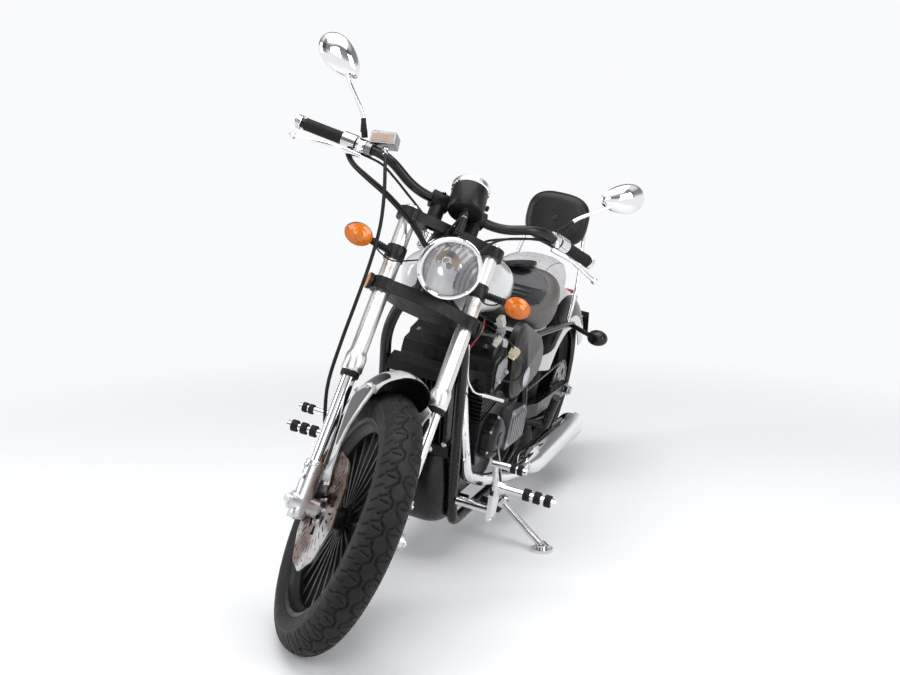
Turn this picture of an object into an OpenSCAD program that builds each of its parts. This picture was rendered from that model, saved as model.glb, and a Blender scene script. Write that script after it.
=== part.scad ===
/* [Stance] */
// distance between the axles with the bars straight
wheelbase = 1620; // [1560:5:1700]
// lean to the left on the side stand, degrees
lean = 10.8; // [6:0.1:14]
// handlebar turned to the left stop, degrees
steer_rest = 35; // [20:1:40]
// steering head angle from upright, degrees
rake = 31; // [26:0.5:36]
// front axle ahead of the steering axis
fork_offset = 45; // [30:1:70]
// lower frame tubes below the front axle
cradle_drop = 181; // [160:1:200]

/* [Front wheel] */
// outer radius of the front tyre
front_radius = 331; // [300:1:350]
// width of the front tyre
front_width = 100; // [80:2:130]
// height of the front tyre above its bead
front_wall = 85; // [70:1:95]
// radius of the front brake disc
disc_radius = 150; // [130:1:160]
// spokes in the front wheel
front_spokes = 24; // [12:2:30]

/* [Rear wheel] */
// outer radius of the rear tyre
rear_radius = 318; // [300:1:340]
// width of the rear tyre
rear_width = 170; // [130:2:190]
// height of the rear tyre above its bead
rear_wall = 112; // [95:1:125]
// spokes in the rear wheel
rear_spokes = 24; // [12:2:30]

/* [Fork] */
// fork legs to each side of the middle
fork_half = 118; // [110:1:130]
// radius of the upper fork tubes
tube_radius = 21.5; // [18:0.5:26]
// radius of the lower fork tubes
lower_radius = 17.5; // [14:0.5:21]
// height of the seal collars above the axle
collar_height = 339; // [300:1:380]
// middle of the lower clamp above the axle
lower_clamp_height = 570; // [540:1:600]
// top of the upper clamp above the middle of the lower one
clamp_spread = 211; // [190:1:240]

/* [Controls] */
// handlebar above the upper clamp
bar_rise = 62; // [55:1:80]
// radius of the handlebar tube
bar_radius = 12.7; // [11:0.1:16]
// radius of the rubber grips
grip_radius = 17; // [15:0.5:20]
// radius of the headlight ring
lamp_radius = 80; // [70:1:95]
// radius of the speedometer
clock_radius = 47; // [40:1:60]

/* [Body] */
// half width of the fuel tank
tank_half = 138; // [110:1:160]
// half width of the rider seat
seat_half = 152; // [120:1:180]
// half width of the rear fender
fender_half = 108; // [95:1:130]
// radius of the mufflers
muffler_radius = 44; // [35:1:55]

/* [Side stand] */
// stand pivot above the lower frame tubes
stand_rise = 15; // [5:1:30]
// stand pivot behind the front axle
stand_pivot_back = 830; // [780:1:860]
// reach of the stand foot to the left
stand_reach = 350; // [300:1:380]
// stand foot behind the front axle
stand_foot_back = 785; // [740:1:820]

/* [Hidden] */
$fn = 48;
fit_gap = 0.3;
front_crown = front_width / 2;
rear_crown = rear_width / 2;
front_bead = front_radius - front_wall;
rear_bead = rear_radius - rear_wall;
front_rim_half = 33;
rear_rim_half = 62;
axle_radius = 12;
front_hub_half = 46;
rear_hub_half = 74;
disc_side = 66;
disc_thick = 5;
spoke_half = 4;
leg_radius = 24;
upper_clamp_top = lower_clamp_height + clamp_spread;
head_low = lower_clamp_height + 27;
head_high = upper_clamp_top - 36;
cradle = front_radius - cradle_drop;

// where the front axle sits once the bars are turned
turned = [fork_offset * sin(steer_rest), fork_offset * cos(rake) * (1 - cos(steer_rest)),
  front_radius - fork_offset * sin(rake) * (1 - cos(steer_rest))];
function rear_drop(p) = (rear_radius - rear_crown) * cos(lean) + rear_crown
  - (wheelbase * sin(p) + rear_radius * cos(p)) * cos(lean);
function wheel_tip(p) = cos(steer_rest) * sin(lean) + sin(steer_rest) * sin(rake - p) * cos(lean);
function front_over(p) = -turned.x * sin(lean) + (turned.y * sin(p) + turned.z * cos(p)) * cos(lean)
  + rear_drop(p) - (front_radius - front_crown) * sqrt(1 - wheel_tip(p) * wheel_tip(p)) - front_crown;
function settle(lo, hi, n) = n == 0 ? (lo + hi) / 2
  : front_over((lo + hi) / 2) > 0 ? settle((lo + hi) / 2, hi, n - 1) : settle(lo, (lo + hi) / 2, n - 1);
pitch = settle(-3, 3, 40);
shift = [-134.67, -836.84, rear_drop(pitch)];

// the bike upright has y = 0 at the front axle and z = 0 at the road; parked() leans it on its stand
function world(p) = let (y = p.y * cos(pitch) - p.z * sin(pitch), z = p.y * sin(pitch) + p.z * cos(pitch))
  [p.x * cos(lean) + z * sin(lean) + shift.x, y + shift.y, -p.x * sin(lean) + z * cos(lean) + shift.z];
module parked() translate(shift) rotate([pitch, lean, 0]) children();
module head() translate([0, fork_offset * cos(rake), front_radius - fork_offset * sin(rake)])
  rotate([-rake, 0, 0]) children();
module steered() parked() head() rotate([0, 0, steer_rest]) children();
// frame, engine and body: heights from the lower frame tubes
module chassis() parked() translate([0, 0, cradle]) children();
// fender, pillion and lamps: measured from the rear axle
module tail() parked() translate([0, wheelbase, rear_radius]) children();
module front_hub() steered() translate([0, -fork_offset, 0]) rotate([0, 90, 0]) children();
module rear_hub() tail() rotate([0, 90, 0]) children();
// a point of the steering axis, and one measured from the rear axle, in the chassis
function head_at(h) = [0, fork_offset * cos(rake) + h * sin(rake),
  cradle_drop - fork_offset * sin(rake) + h * cos(rake)];
function tail_at(p) = [p.x, wheelbase + p.y, rear_radius + p.z - cradle];
// a point on the fork: across, up the steering axis, ahead of the axle line
function fp(s, h, d) = [s, -fork_offset - d, h];
// the same, up from the upper clamp
function bp(s, h, d) = fp(s, upper_clamp_top + h, d);

function unit(v) = v / norm(v);
function mix(a, b, t) = a + (b - a) * t;
function polar(r, a) = r * [cos(a), sin(a)];
module between(a, b) {
  d = b - a;
  translate(a) rotate([0, acos(d.z / norm(d)), atan2(d.y, d.x)]) children();
}
module rod(a, b, r) between(a, b) cylinder(h = norm(b - a), r = r);
module sleeve(a, b, r, bore) between(a, b) difference() {
  cylinder(h = norm(b - a), r = r);
  translate([0, 0, -1]) cylinder(h = norm(b - a) + 2, r = bore);
}
// a side outline drawn as [back, up], extruded across from x
module side(x, width) translate([x, 0, 0]) rotate([90, 0, 90]) linear_extrude(width) children();
// a path with its corners rounded off by the reach
function rounded(p, reach, n = 4) = let (last = len(p) - 1) [p[0],
  for (i = [1:1:last - 1]) let (a = p[i] + unit(p[i - 1] - p[i]) * reach,
    b = p[i] + unit(p[i + 1] - p[i]) * reach)
    for (k = [0:n]) let (t = k / n) (1 - t) * (1 - t) * a + 2 * t * (1 - t) * p[i] + t * t * b,
  p[last]];
module skin(rings) {
  n = len(rings[0]);
  m = len(rings);
  polyhedron([for (r = rings) each r],
    concat([[for (i = [0:n - 1]) i]], [[for (i = [n - 1:-1:0]) (m - 1) * n + i]],
      [for (j = [0:m - 2], i = [0:n - 1])
        [j * n + i, (j + 1) * n + i, (j + 1) * n + (i + 1) % n, j * n + (i + 1) % n]]),
    convexity = 8);
}
function heading(p, i) = unit(p[min(i + 1, len(p) - 1)] - p[max(i - 1, 0)]);
// a round tube swept along a path
module sweep(p, r, up = [0, 0, 1], n = 10) skin([for (i = [0:len(p) - 1])
  let (t = heading(p, i), e = unit(cross(up, t)), f = cross(t, e))
  [for (k = [0:n - 1]) p[i] - r * (cos(360 * k / n) * e + sin(360 * k / n) * f)]]);
function bulge(c, e) = sign(c) * pow(abs(c), 2 / e);
// a rounded cross section at one station: back, half width, low, high, squareness, dish of the top
function slice(q, n = 28) = [for (i = [0:n - 1]) let (t = -360 * i / n, x = bulge(cos(t), q[4]),
  u = bulge(sin(t), q[4]), dip = u > 0 ? q[5] * (1 - x * x) * u : 0)
  [q[1] * x, q[0], (q[2] + q[3]) / 2 + (q[3] - q[2]) / 2 * u - dip]];
// stations between the rows of a table, on one smooth curve
function blend(q, n = 3) = let (last = len(q) - 1) [for (i = [0:last - 1], k = [0:n - 1])
  let (t = k / n, a = q[max(i - 1, 0)], b = q[i], c = q[i + 1], d = q[min(i + 2, last)])
  b + t / 2 * (c - a) + t * t / 2 * (2 * a - 5 * b + 4 * c - d) + t * t * t / 2 * (3 * b - a - 3 * c + d),
  q[last]];
module loft(table) skin([for (q = blend(table)) slice(q)]);
// an oval ring square to the y axis
function oval(y, a, b, n = 20, e = 2) = [for (i = [0:n - 1]) let (t = -360 * i / n)
  [a * bulge(cos(t), e), y, b * bulge(sin(t), e)]];
module both() {
  children();
  mirror([1, 0, 0]) children();
}

module tyre_section(radius, crown, bead, half) difference() {
  translate([radius - crown, 0]) circle(crown, $fn = 64);
  translate([bead - 200, 0]) square([400, 4 * crown], center = true);
  for (s = [-1, 1]) translate([bead - 100 + 8, s * (half + 50)]) square([200, 100], center = true);
}
// one half of a drop centre rim, [out, across], from the middle to the lip and back
function rim_half(bead, half) = [[bead - 19, 0], [bead - 19, half - 24], [bead - fit_gap, half - 14],
  [bead - fit_gap, half + fit_gap], [bead + 7, half + fit_gap], [bead + 7, half + 6], [bead + 4, half + 8],
  [bead - 6, half + 4], [bead - 8, half - 4], [bead - 25, half - 18], [bead - 25, 0]];
module wheel(bead, half, hub_radius, hub_left, hub_right, count) {
  well = bead - 22;
  for (s = [0, 1]) mirror([0, 0, s]) rotate_extrude($fn = 96) polygon(rim_half(bead, half));
  rotate_extrude() polygon([[axle_radius, -hub_right], [hub_radius, -hub_right], [hub_radius, 9 - hub_right],
    [hub_radius - 8, 16 - hub_right], [hub_radius - 8, -14], [hub_radius + 6, -10], [hub_radius + 6, 10],
    [hub_radius - 8, 14], [hub_radius - 10, hub_left], [axle_radius, hub_left]]);
  for (i = [0:count - 1]) rotate([0, 0, 360 * i / count]) translate([0, 0, -8]) linear_extrude(16)
    polygon([[hub_radius + 2, -spoke_half], [well, -spoke_half - 2], [well, spoke_half + 2],
      [hub_radius + 2, spoke_half]]);
}
module front_tyre() color("#202022") front_hub()
  rotate_extrude($fn = 96) tyre_section(front_radius, front_crown, front_bead, front_rim_half);
module front_wheel() color("#1a1a1c") front_hub()
  wheel(front_bead, front_rim_half, 36, front_hub_half, disc_side - disc_thick / 2 - fit_gap, front_spokes);
// a wave edged disc: windows round the carrier, long slots and a ring of holes
module disc(radius, hub, waves) linear_extrude(disc_thick) difference() {
  polygon([for (i = [0:waves * 12 - 1]) polar(radius - 3 + 3 * cos(30 * i), 30 * i / waves)]);
  circle(hub);
  for (i = [0:5]) rotate(60 * i)
    polygon([[hub + 14, -9], [0.4 * radius, -15], [0.4 * radius, 15], [hub + 14, 9]]);
  for (i = [0:29]) rotate(12 * i) translate([0.52 * radius, -2.5]) square([0.18 * radius, 5]);
  for (i = [0:35]) rotate(10 * i) translate([(i % 2 == 0 ? 0.83 : 0.91) * radius, 0]) circle(3.4);
}
module front_disc() color("#a8a8a8") front_hub() translate([0, 0, -disc_side - disc_thick / 2])
  disc(disc_radius, 24, 10);
module fork_tubes() color("#c8c8ca") steered() both() translate(fp(fork_half, 0, 0))
  rotate_extrude() polygon([[0, collar_height], [tube_radius + 3, collar_height],
    [tube_radius + 5, collar_height + 4], [tube_radius + 5, collar_height + 40],
    [tube_radius, collar_height + 54], [tube_radius, upper_clamp_top + 6], [0, upper_clamp_top + 6]]);
leg_top = 104;
leg_low = -36;
module fork_lowers() color("#d8d8da") steered() both() translate(fp(fork_half, leg_top, 0))
  cylinder(h = collar_height - leg_top, r = lower_radius);
module fork_bottoms() color("#b4b4b6") steered() {
  both() difference() {
    union() {
      translate(fp(fork_half, 0, 0)) rotate_extrude() polygon([[0, leg_low], [leg_radius - 7, leg_low],
        [leg_radius - 4, leg_low + 8], [leg_radius, 18], [leg_radius, leg_top - 14],
        [leg_radius + 2, leg_top - 12],
        [leg_radius + 2, leg_top - 2], [leg_radius, leg_top], [0, leg_top]]);
      rod(fp(fork_half - 40, 0, 0), fp(fork_half + 30, 0, 0), 22);
      translate(fp(fork_half, -12, -30)) cube([26, 30, 46], center = true);
    }
    rod(fp(fork_half - 60, 0, 0), fp(fork_half + 60, 0, 0), axle_radius - fit_gap - 0.1);
    translate(fp(fork_half, -12, -40)) cube([60, 16, 3], center = true);
  }
  sleeve(fp(-fork_half - 34, 0, 0), fp(fork_half + 34, 0, 0), axle_radius - fit_gap - 0.2, 6);
}
module clamp_plate(thick, ear, nose) difference() {
  linear_extrude(thick) {
    for (s = [-1, 1]) translate([s * fork_half, -fork_offset]) circle(ear);
    polygon([[-fork_half, 6 - fork_offset - ear], [-40, -fork_offset - nose], [40, -fork_offset - nose],
      [fork_half, 6 - fork_offset - ear], [fork_half, ear - fork_offset - 2], [34, 30], [-34, 30],
      [-fork_half, ear - fork_offset - 2]]);
  }
  for (s = [-1, 1]) translate([s * fork_half, -fork_offset, -1])
    cylinder(h = thick + 2, r = tube_radius + 0.1);
}
upper_thick = 28;
lower_thick = 34;
stem_radius = 15;
race_radius = 27;
bar_back = -19;
bar_bend = bp(223, bar_rise + 44, -5);
bar_tip = bp(432, bar_rise + 79, -145);
bar_inner = bp(124, bar_rise, bar_back);
function flip(p) = [-p.x, p.y, p.z];
function on_bar(t) = mix(bar_bend, bar_tip, t);
module upper_clamp() color("#1c1c1e") steered() difference() {
  union() {
    translate([0, 0, upper_clamp_top - upper_thick]) clamp_plate(upper_thick, 32, 30);
    translate([0, 0, head_high + fit_gap])
      cylinder(h = upper_clamp_top - upper_thick + 1 - head_high - fit_gap, r = race_radius);
    both() translate(bp(52, -4, bar_back)) cylinder(h = bar_rise - 12, r = 20);
    both() rod(bp(28, bar_rise, bar_back), bp(76, bar_rise, bar_back), bar_radius + 11.3);
  }
  rod(bp(-90, bar_rise, bar_back), bp(90, bar_rise, bar_back), bar_radius + 0.1);
  translate([0, 0, head_high - 10])
    cylinder(h = upper_clamp_top - upper_thick - head_high + 10, r = stem_radius + 0.1);
}
module lower_clamp() color("#1c1c1e") steered() {
  top = lower_clamp_height + lower_thick / 2;
  translate([0, 0, top - lower_thick]) clamp_plate(lower_thick, 32, 44);
  translate([0, 0, top - 1]) cylinder(h = upper_clamp_top - upper_thick - top + 1, r = stem_radius);
  translate([0, 0, top - 1]) cylinder(h = head_low - top + 1 - fit_gap, r = race_radius);
}
module handlebar() color("#161618") steered() sweep(rounded([flip(bar_tip), flip(bar_bend), flip(bar_inner),
  bar_inner, bar_bend, bar_tip], 42, 5), bar_radius, [0, 0, 1], 16);
module grips() color("#141414") steered() both() {
  sleeve(on_bar(0.52), on_bar(0.97), grip_radius, bar_radius + fit_gap);
  rod(on_bar(1.001), on_bar(1.07), grip_radius + 1);
}
lever_path = [bp(284, 85, -37), bp(345, 83, -38), bp(400, 85, -78), bp(450, 79, -96)];
module levers() color("#d0d0d2") steered() both() {
  sweep(rounded(lever_path, 18), 7, [0, 0, 1], 8);
  translate(lever_path[3] + [2, 1, 0]) sphere(10, $fn = 24);
}
module hand_controls() color("#18181a") steered() both() {
  sleeve(on_bar(0.36), on_bar(0.51), grip_radius + 4, bar_radius + fit_gap);
  difference() {
    union() {
      between(on_bar(0.25), on_bar(0.35)) cylinder(h = 24, r = bar_radius + 5.3);
      rod(on_bar(0.3), bp(295, 103, -34), 9);
      translate(bp(294, 92.3, -37)) cylinder(h = 14, r = 7);
    }
    rod(on_bar(0.1), on_bar(0.5), bar_radius + fit_gap);
  }
}
module master_cylinder() color("#c0c0c2") steered() mirror([1, 0, 0]) difference() {
  union() {
    translate(bp(241, 145, -20)) rotate([0, 8, 34]) {
      cube([66, 42, 32], center = true);
      translate([0, 0, 17]) cube([60, 36, 6], center = true);
    }
    rod(on_bar(0.176), on_bar(0.244), bar_radius + 5.3);
  }
  rod(on_bar(-0.05), on_bar(0.5), bar_radius + fit_gap);
}
mirror_axis = bp(425, 299, -23);
mirror_tilt = [20, -28, 0];
// mirror back: ahead of the glass, half width, half height
mirror_rings = [[-26, 14, 10], [-24, 26, 18], [-18, 40, 28], [-10, 49, 35], [0, 53, 38]];
module mirrors() color("#d4d4d6") steered() both() {
  rod(bp(288, 139.4, -45), bp(295, 151, -40), 8);
  sweep(rounded([bp(294, 145, -40), bp(316, 187, -27), bp(390, 255, -21), bp(412, 279, -15)], 24), 5,
    [0, 1, 0], 8);
  translate(mirror_axis) rotate(mirror_tilt) skin([for (q = mirror_rings) oval(q[0], q[1], q[2])]);
}
module mirror_glasses() color("#8a9098") steered() both() translate(mirror_axis) rotate(mirror_tilt)
  skin([for (y = [fit_gap, 3]) oval(y, 49, 34)]);
clock_low = bp(0, 35, 55);
clock_top = bp(0, 119, 27);
module speedometer() color("#1a1a1a") steered() {
  between(clock_low, clock_top) rotate_extrude() polygon([[0, 0], [clock_radius - 6, 0], [clock_radius, 6],
    [clock_radius, 70], [clock_radius + 3, 72], [clock_radius + 3, 84], [clock_radius - 3, 87],
    [clock_radius - 5, 83], [0, 83]]);
  rod(bp(0, -14, 30.3), bp(0, -14, 58), 11);
  rod(bp(0, -19, 50), mix(clock_low, clock_top, 0.06), 12);
}
lamp_ahead = 108;
lamp_height = lower_clamp_height + 77;
module lamp() translate(fp(0, lamp_height, lamp_ahead)) rotate([90 + rake, 0, 0]) children();
module headlight_shell() color("#c8c8ca") steered() {
  lamp() difference() {
    rotate_extrude($fn = 64) polygon([[0, -112], [lamp_radius - 50, -108], [lamp_radius - 24, -92],
      [lamp_radius - 10, -62], [lamp_radius - 5, -24], [lamp_radius, -18], [lamp_radius, -4],
      [lamp_radius - 3, -1], [lamp_radius - 8, 0], [0, 0]]);
    translate([0, 0, -12]) cylinder(h = 20, r = lamp_radius - 11, $fn = 64);
  }
  translate(fp(0, lower_clamp_height + lower_thick / 2 + fit_gap, 30)) cylinder(h = 34, r = 14);
}
module headlight_lens() color("#e4eaee") steered() lamp() rotate_extrude($fn = 64)
  polygon([[0, -11.5], [lamp_radius - 11.4, -11.5], [lamp_radius - 11.4, -3], [lamp_radius - 20, 1],
    [lamp_radius - 40, 4], [0, 6]]);
signal_height = lower_clamp_height + 89;
signal_side = 226;
// turn signal: ahead of its middle, half width, half height
signal_rings = [[-26, 12, 8], [-20, 26, 20], [-10, 33, 25], [0, 35, 27], [16, 32, 24], [23, 24, 17],
  [26, 14, 10]];
module signal_stalks() color("#1c1c1e") steered() both() {
  sleeve(fp(fork_half, signal_height - 19, 0), fp(fork_half, signal_height + 19, 0), tube_radius + 4,
    tube_radius + 0.1);
  difference() {
    rod(fp(fork_half + 20, signal_height, 6), fp(signal_side - 35.6, signal_height, 19), 9);
    translate(fp(fork_half, signal_height - 30, 0)) cylinder(h = 60, r = tube_radius + 0.1);
  }
}
module signal_lenses() color("#e08a20") steered() both() translate(fp(signal_side, signal_height, 20))
  rotate([rake, 0, 0]) skin([for (q = signal_rings) oval(q[0], q[1], q[2])]);
sheet = 3;
function hoop(c, r, a) = [for (t = [-a:15:a]) [c + r * cos(t), r * sin(t)]];
function hoop_back(c, r, a) = [for (t = [a:-15:-a]) [c + r * cos(t), r * sin(t)]];
// a fender of round section turned about the axle, with its skirts cut back towards both ends
module fender(mid, half, from, to) difference() {
  rotate([0, 0, from]) rotate_extrude(angle = to - from, $fn = 96)
    polygon(concat(hoop(mid, half, 105), hoop_back(mid, half - sheet, 105)));
  for (q = [[from, 1], [to, -1]]) translate([0, 0, -2 * half]) linear_extrude(4 * half)
    polygon([polar(mid - half, q[0] + q[1] * 26), polar(mid + 0.72 * half, q[0]),
      polar(mid - half, q[0] - q[1] * 12)]);
}
front_fender_half = front_crown + 13;
front_fender_mid = front_radius - 9;
module front_fender() color("#eeeeee") front_hub() fender(front_fender_mid, front_fender_half, 112, 205);
stay_height = front_fender_mid - 14;
stay_side = front_fender_half + 10;
// the fender's side plate, [back, up] from the axle: wide at the fender and narrow at the leg
stay_outline = [[-14, 62], [22, 62], [50, 110], [80, stay_height - 58], [72, stay_height + 6],
  [0, stay_height + 16], [-60, stay_height + 14], [-112, stay_height - 8], [-56, stay_height - 46],
  [-2, stay_height - 92], [18, stay_height - 136], [10, 104]];
module fender_stays() color("#d8d8da") steered() both() {
  translate([0, -fork_offset, 0]) side(stay_side, 4) polygon(stay_outline);
  for (d = [-50, 52])
    rod(fp(front_fender_half + 0.4, stay_height + 6, d), fp(stay_side + 1, stay_height + 6, d), 8);
  rod(fp(stay_side + 3, 78, 0), fp(fork_half - leg_radius - fit_gap, 78, 0), 9);
}
// a caliper that grips a disc of this radius round its edge, [from, to] degrees
module caliper(radius, arc) difference() {
  rotate([0, 0, arc[0]]) rotate_extrude(angle = arc[1] - arc[0], $fn = 96)
    polygon([[radius - 44, -20], [radius - 36, -26], [radius + 4, -26], [radius + 12, -16], [radius + 12, 16],
      [radius + 4, 22], [radius - 36, 22], [radius - 44, 16]]);
  translate([0, 0, -7.5]) cylinder(h = 15, r = radius + 6, $fn = 96);
}
module front_caliper() color("#242426") {
  front_hub() translate([0, 0, -disc_side]) caliper(disc_radius, [82, 130]);
  steered() difference() {
    translate(fp(20 - fork_half, 36, -63)) cube([20, 96, 36], center = true);
    translate(fp(-fork_half, 0, 0)) cylinder(h = 80, r = leg_radius + 0.2);
    translate(fp(-disc_side, 0, 0)) rotate([0, 90, 0])
      cylinder(h = 15, r = disc_radius + 6, center = true, $fn = 96);
  }
}
hose_path = [bp(-236, 121, -6), bp(-232, 79, 30), bp(-186, -81, 44), bp(-176, -221, 40), fp(-160, 300, -30),
  fp(-104, 165, -45), fp(-83, 133, -64), fp(-83, 87.5, -102.6)];
module brake_hose() color("#141414") steered() sweep(rounded(hose_path, 30), 4.5, [1, 0, 0], 8);

// side stand: a plain pin on the frame's lug, over centre once it is down
stand_boss = 12;
stand_pivot = world([185, stand_pivot_back, cradle + stand_rise]);
stand_foot = [stand_reach + shift.x, stand_foot_back + shift.y, 15];
stand_out = unit(stand_foot - stand_pivot);
stand_fold = unit(world([190, stand_pivot_back + 100, cradle + stand_rise]) - stand_pivot);
stand_axis = unit(cross(stand_out, stand_fold));
stand_swing = acos(stand_out * stand_fold);
module side_stand() color("#c8c8ca") {
  between(stand_pivot - stand_axis * stand_boss, stand_pivot + stand_axis)
    cylinder(h = 2 * stand_boss, r = 16);
  rod(stand_pivot, stand_foot, 10.5);
  translate([stand_foot.x, stand_foot.y, 0]) cylinder(h = 9, r = 32);
  translate([stand_foot.x, stand_foot.y, 6]) cylinder(h = 12, r = 16);
}
spine_radius = 20;
spine = rounded([head_at(head_low + 30), [0, 560, 650], [0, 780, 540], [0, 1062, 450]], 60);
cradle_tube = 15;
rail_radius = 10;
rail_x = fender_half + rail_radius + fit_gap;
rail_mid = [98, 1064, 450];
rail_end = tail_at([rail_x, -180, 262]);
swing_pivot = [0, 1082, 180];
pivot_radius = 20;
// bars across the frame: back, up, half length, radius
frame_bars = [[730, 28, 108, 14], [940, 28, 108, 14], [1062, 450, 98, 12],
  [swing_pivot.y, swing_pivot.z, 118, pivot_radius]];
module frame() color("#1e1e20") difference() {
  union() {
    parked() head() translate([0, 0, head_low]) cylinder(h = head_high - head_low, r = 30);
    chassis() {
      sweep(spine, spine_radius, [1, 0, 0], 12);
      both() {
        sweep(rounded([head_at(head_low + 46) + [16, 20, -12], [88, 424, 620], [110, 424, 540],
          [110, 552, 114], [112, 600, 2], [112, 1000, 0], [124, 1094, 90], [122, 1088, 250],
          [108, 1080, 334], [96, 1060, 454]], 40), cradle_tube, [1, 0.2, 0.1]);
        sweep(rounded([[8, 796, 534], [88, 886, 490], rail_mid, mix(rail_mid, rail_end, 0.63), rail_end,
          tail_at([rail_x, -40, 240])], 36), rail_radius, [0, 0, 1]);
      }
      for (q = frame_bars) rod([-q[2], q[0], q[1]], [q[2], q[0], q[1]], q[3]);
      rod([112, stand_pivot_back, 0], [166, stand_pivot_back, 0], 13);
    }
    between(stand_pivot - stand_axis * (stand_boss + 22), stand_pivot) cylinder(h = 22 - fit_gap, r = 15);
  }
  parked() head() translate([0, 0, head_low - 100])
    cylinder(h = head_high - head_low + 200, r = pivot_radius);
  between(stand_pivot - stand_axis * (stand_boss + fit_gap), stand_pivot) cylinder(h = 90, r = 30);
}
engine_half = 122;
cover_face = engine_half + 0.2;
// final drive: chain line, sprocket radii and the gearbox shaft as [back, up]
chain_x = 96;
chain_half = 4.5;
drive_radius = 36;
driven_radius = 92;
sprocket_half = 3;
output = [985, 202];
rear_axle = [wheelbase, rear_radius - cradle];
module engine_block() color("#26262a") chassis() {
  difference() {
    union() {
      side(-84, 168) polygon([[690, 42.3], [960, 42.3], [1000, 80], [1000, 150], [690, 150]]);
      side(-engine_half, 2 * engine_half) polygon([[672, 190], [690, 149], [1010, 149], [1036, 200],
        [1000, 290], [860, 302], [805, 319.4], [672, 286.3]]);
    }
    translate([chain_x - 10, output.x - drive_radius - 24, output.y - drive_radius - 20])
      cube([100, 200, 200]);
  }
  side(chain_x - 14, 14 - sprocket_half + 1) translate(output) circle(14);
  side(chain_x - sprocket_half, 2 * sprocket_half) translate(output) circle(drive_radius);
}
// the outline of a loop round two sprockets
function loop(a, ra, b, rb, n = 28) =
  let (v = b - a, along = atan2(v.y, v.x), open = acos((ra - rb) / norm(v)))
  concat([for (i = [0:n]) a + polar(ra, along + open + (360 - 2 * open) * i / n)],
    [for (i = [0:n]) b + polar(rb, along - open + 2 * open * i / n)]);
module drive_chain() color("#4a4844") chassis() side(chain_x - chain_half, 2 * chain_half) difference() {
  polygon(loop(output, drive_radius + 7, rear_axle, driven_radius + 7));
  polygon(loop(output, drive_radius + 0.6, rear_axle, driven_radius + 0.6));
}
teeth = 42;
module rear_sprocket() color("#707074") rear_hub() translate([0, 0, chain_x - sprocket_half])
  linear_extrude(2 * sprocket_half) difference() {
    polygon([for (i = [0:2 * teeth - 1]) polar(driven_radius - 5 * (i % 2), 180 * i / teeth)]);
    circle(24);
    for (i = [0:4]) rotate(72 * i) translate([60, 0]) circle(13);
  }
head_tilt = 14;
fin_pitch = 13;
module cylinder_head() color("#2a2a2e") chassis() translate([0, 735, 302]) rotate([head_tilt, 0, 0]) {
  for (k = [0:6]) translate([-118, -66, 4 + fin_pitch * k]) cube([236, 132, 7]);
  translate([-108, -56, fit_gap]) cube([216, 112, 95]);
  side(-138, 276) polygon([[-62, 94], [62, 94], [62, 156], [46, 190], [-46, 190], [-62, 156]]);
  side(-126, 252) polygon([[-44, 189], [44, 189], [36, 219], [-36, 219]]);
  both() {
    side(137, 7) polygon([[-48, 102], [48, 102], [48, 150], [36, 174], [-36, 174], [-48, 150]]);
    for (s = [-1, 1]) rod([143, 32 * s, 122], [148, 32 * s, 122], 8);
  }
}
module engine_covers() color("#2c2c30") chassis() both() translate([cover_face, 760, 222]) rotate([0, 90, 0]) {
  rotate_extrude()
    polygon([[0, 0], [62, 0], [62, 24], [56, 31], [46, 38], [22, 38], [20, 42], [0, 42]]);
  for (i = [0:5]) rotate([0, 0, 60 * i]) translate([61, 0, 0]) cylinder(h = 22, r = 8);
}
rib_pitch = 20;
module sprocket_cover() color("#8c8c90") chassis() {
  side(cover_face, 34) polygon([[850, 162], [1000, 160], [1026, 200], [1000, 270], [870, 280]]);
  for (k = [0:6]) side(cover_face, 42) translate([870 + rib_pitch * k, 172]) square([9, 86]);
}
cover_in = 125.4;
badge = [905, 380];
// corners of the round side cover: back, up, radius
cover_table = [[840, 490, 62], [1010, 410, 76], [880, 390, 74]];
module side_covers() color("#4a4c50") chassis() both() {
  for (q = [[116, 1067, 410], [98.4, 886, 491]]) rod(q, [cover_in + 4, q[1], q[2]], 8);
  translate([cover_in, 0, 0]) rotate([90, 0, 90]) {
    hull() for (q = cover_table) translate([q[0], q[1]]) cylinder(h = 20, r = q[2], $fn = 32);
    translate([0, 0, 19]) hull() for (q = cover_table) translate([q[0], q[1]])
      cylinder(h = 10, r1 = q[2], r2 = q[2] - 7, $fn = 32);
    translate([0, 0, 28]) hull() for (q = cover_table) translate([q[0], q[1]])
      cylinder(h = 9, r1 = q[2] - 7, r2 = q[2] - 24, $fn = 32);
    translate([badge.x, badge.y, 30]) cylinder(h = 10, r = 31);
  }
}
core = [150, 36, 220];
module radiator() color("#1a1a1c") chassis() translate([0, 486, 350]) rotate([18, 0, 0]) {
  translate([0, 5, 0]) cube([core.x, core.y - 18, core.z], center = true);
  both() translate([core.x / 2, -core.y / 2, -core.z / 2]) cube([10, core.y, core.z]);
  for (k = [-4:4]) translate([16 * k - 2, -core.y / 2 + 3, -core.z / 2]) cube([4, core.y - 6, core.z]);
  for (s = [-1, 1]) translate([0, 0, s * 118]) cube([189, 44, 34], center = true);
}
pan_half = 94.6;
pan_low = -16;
pan_round = 64;
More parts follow.
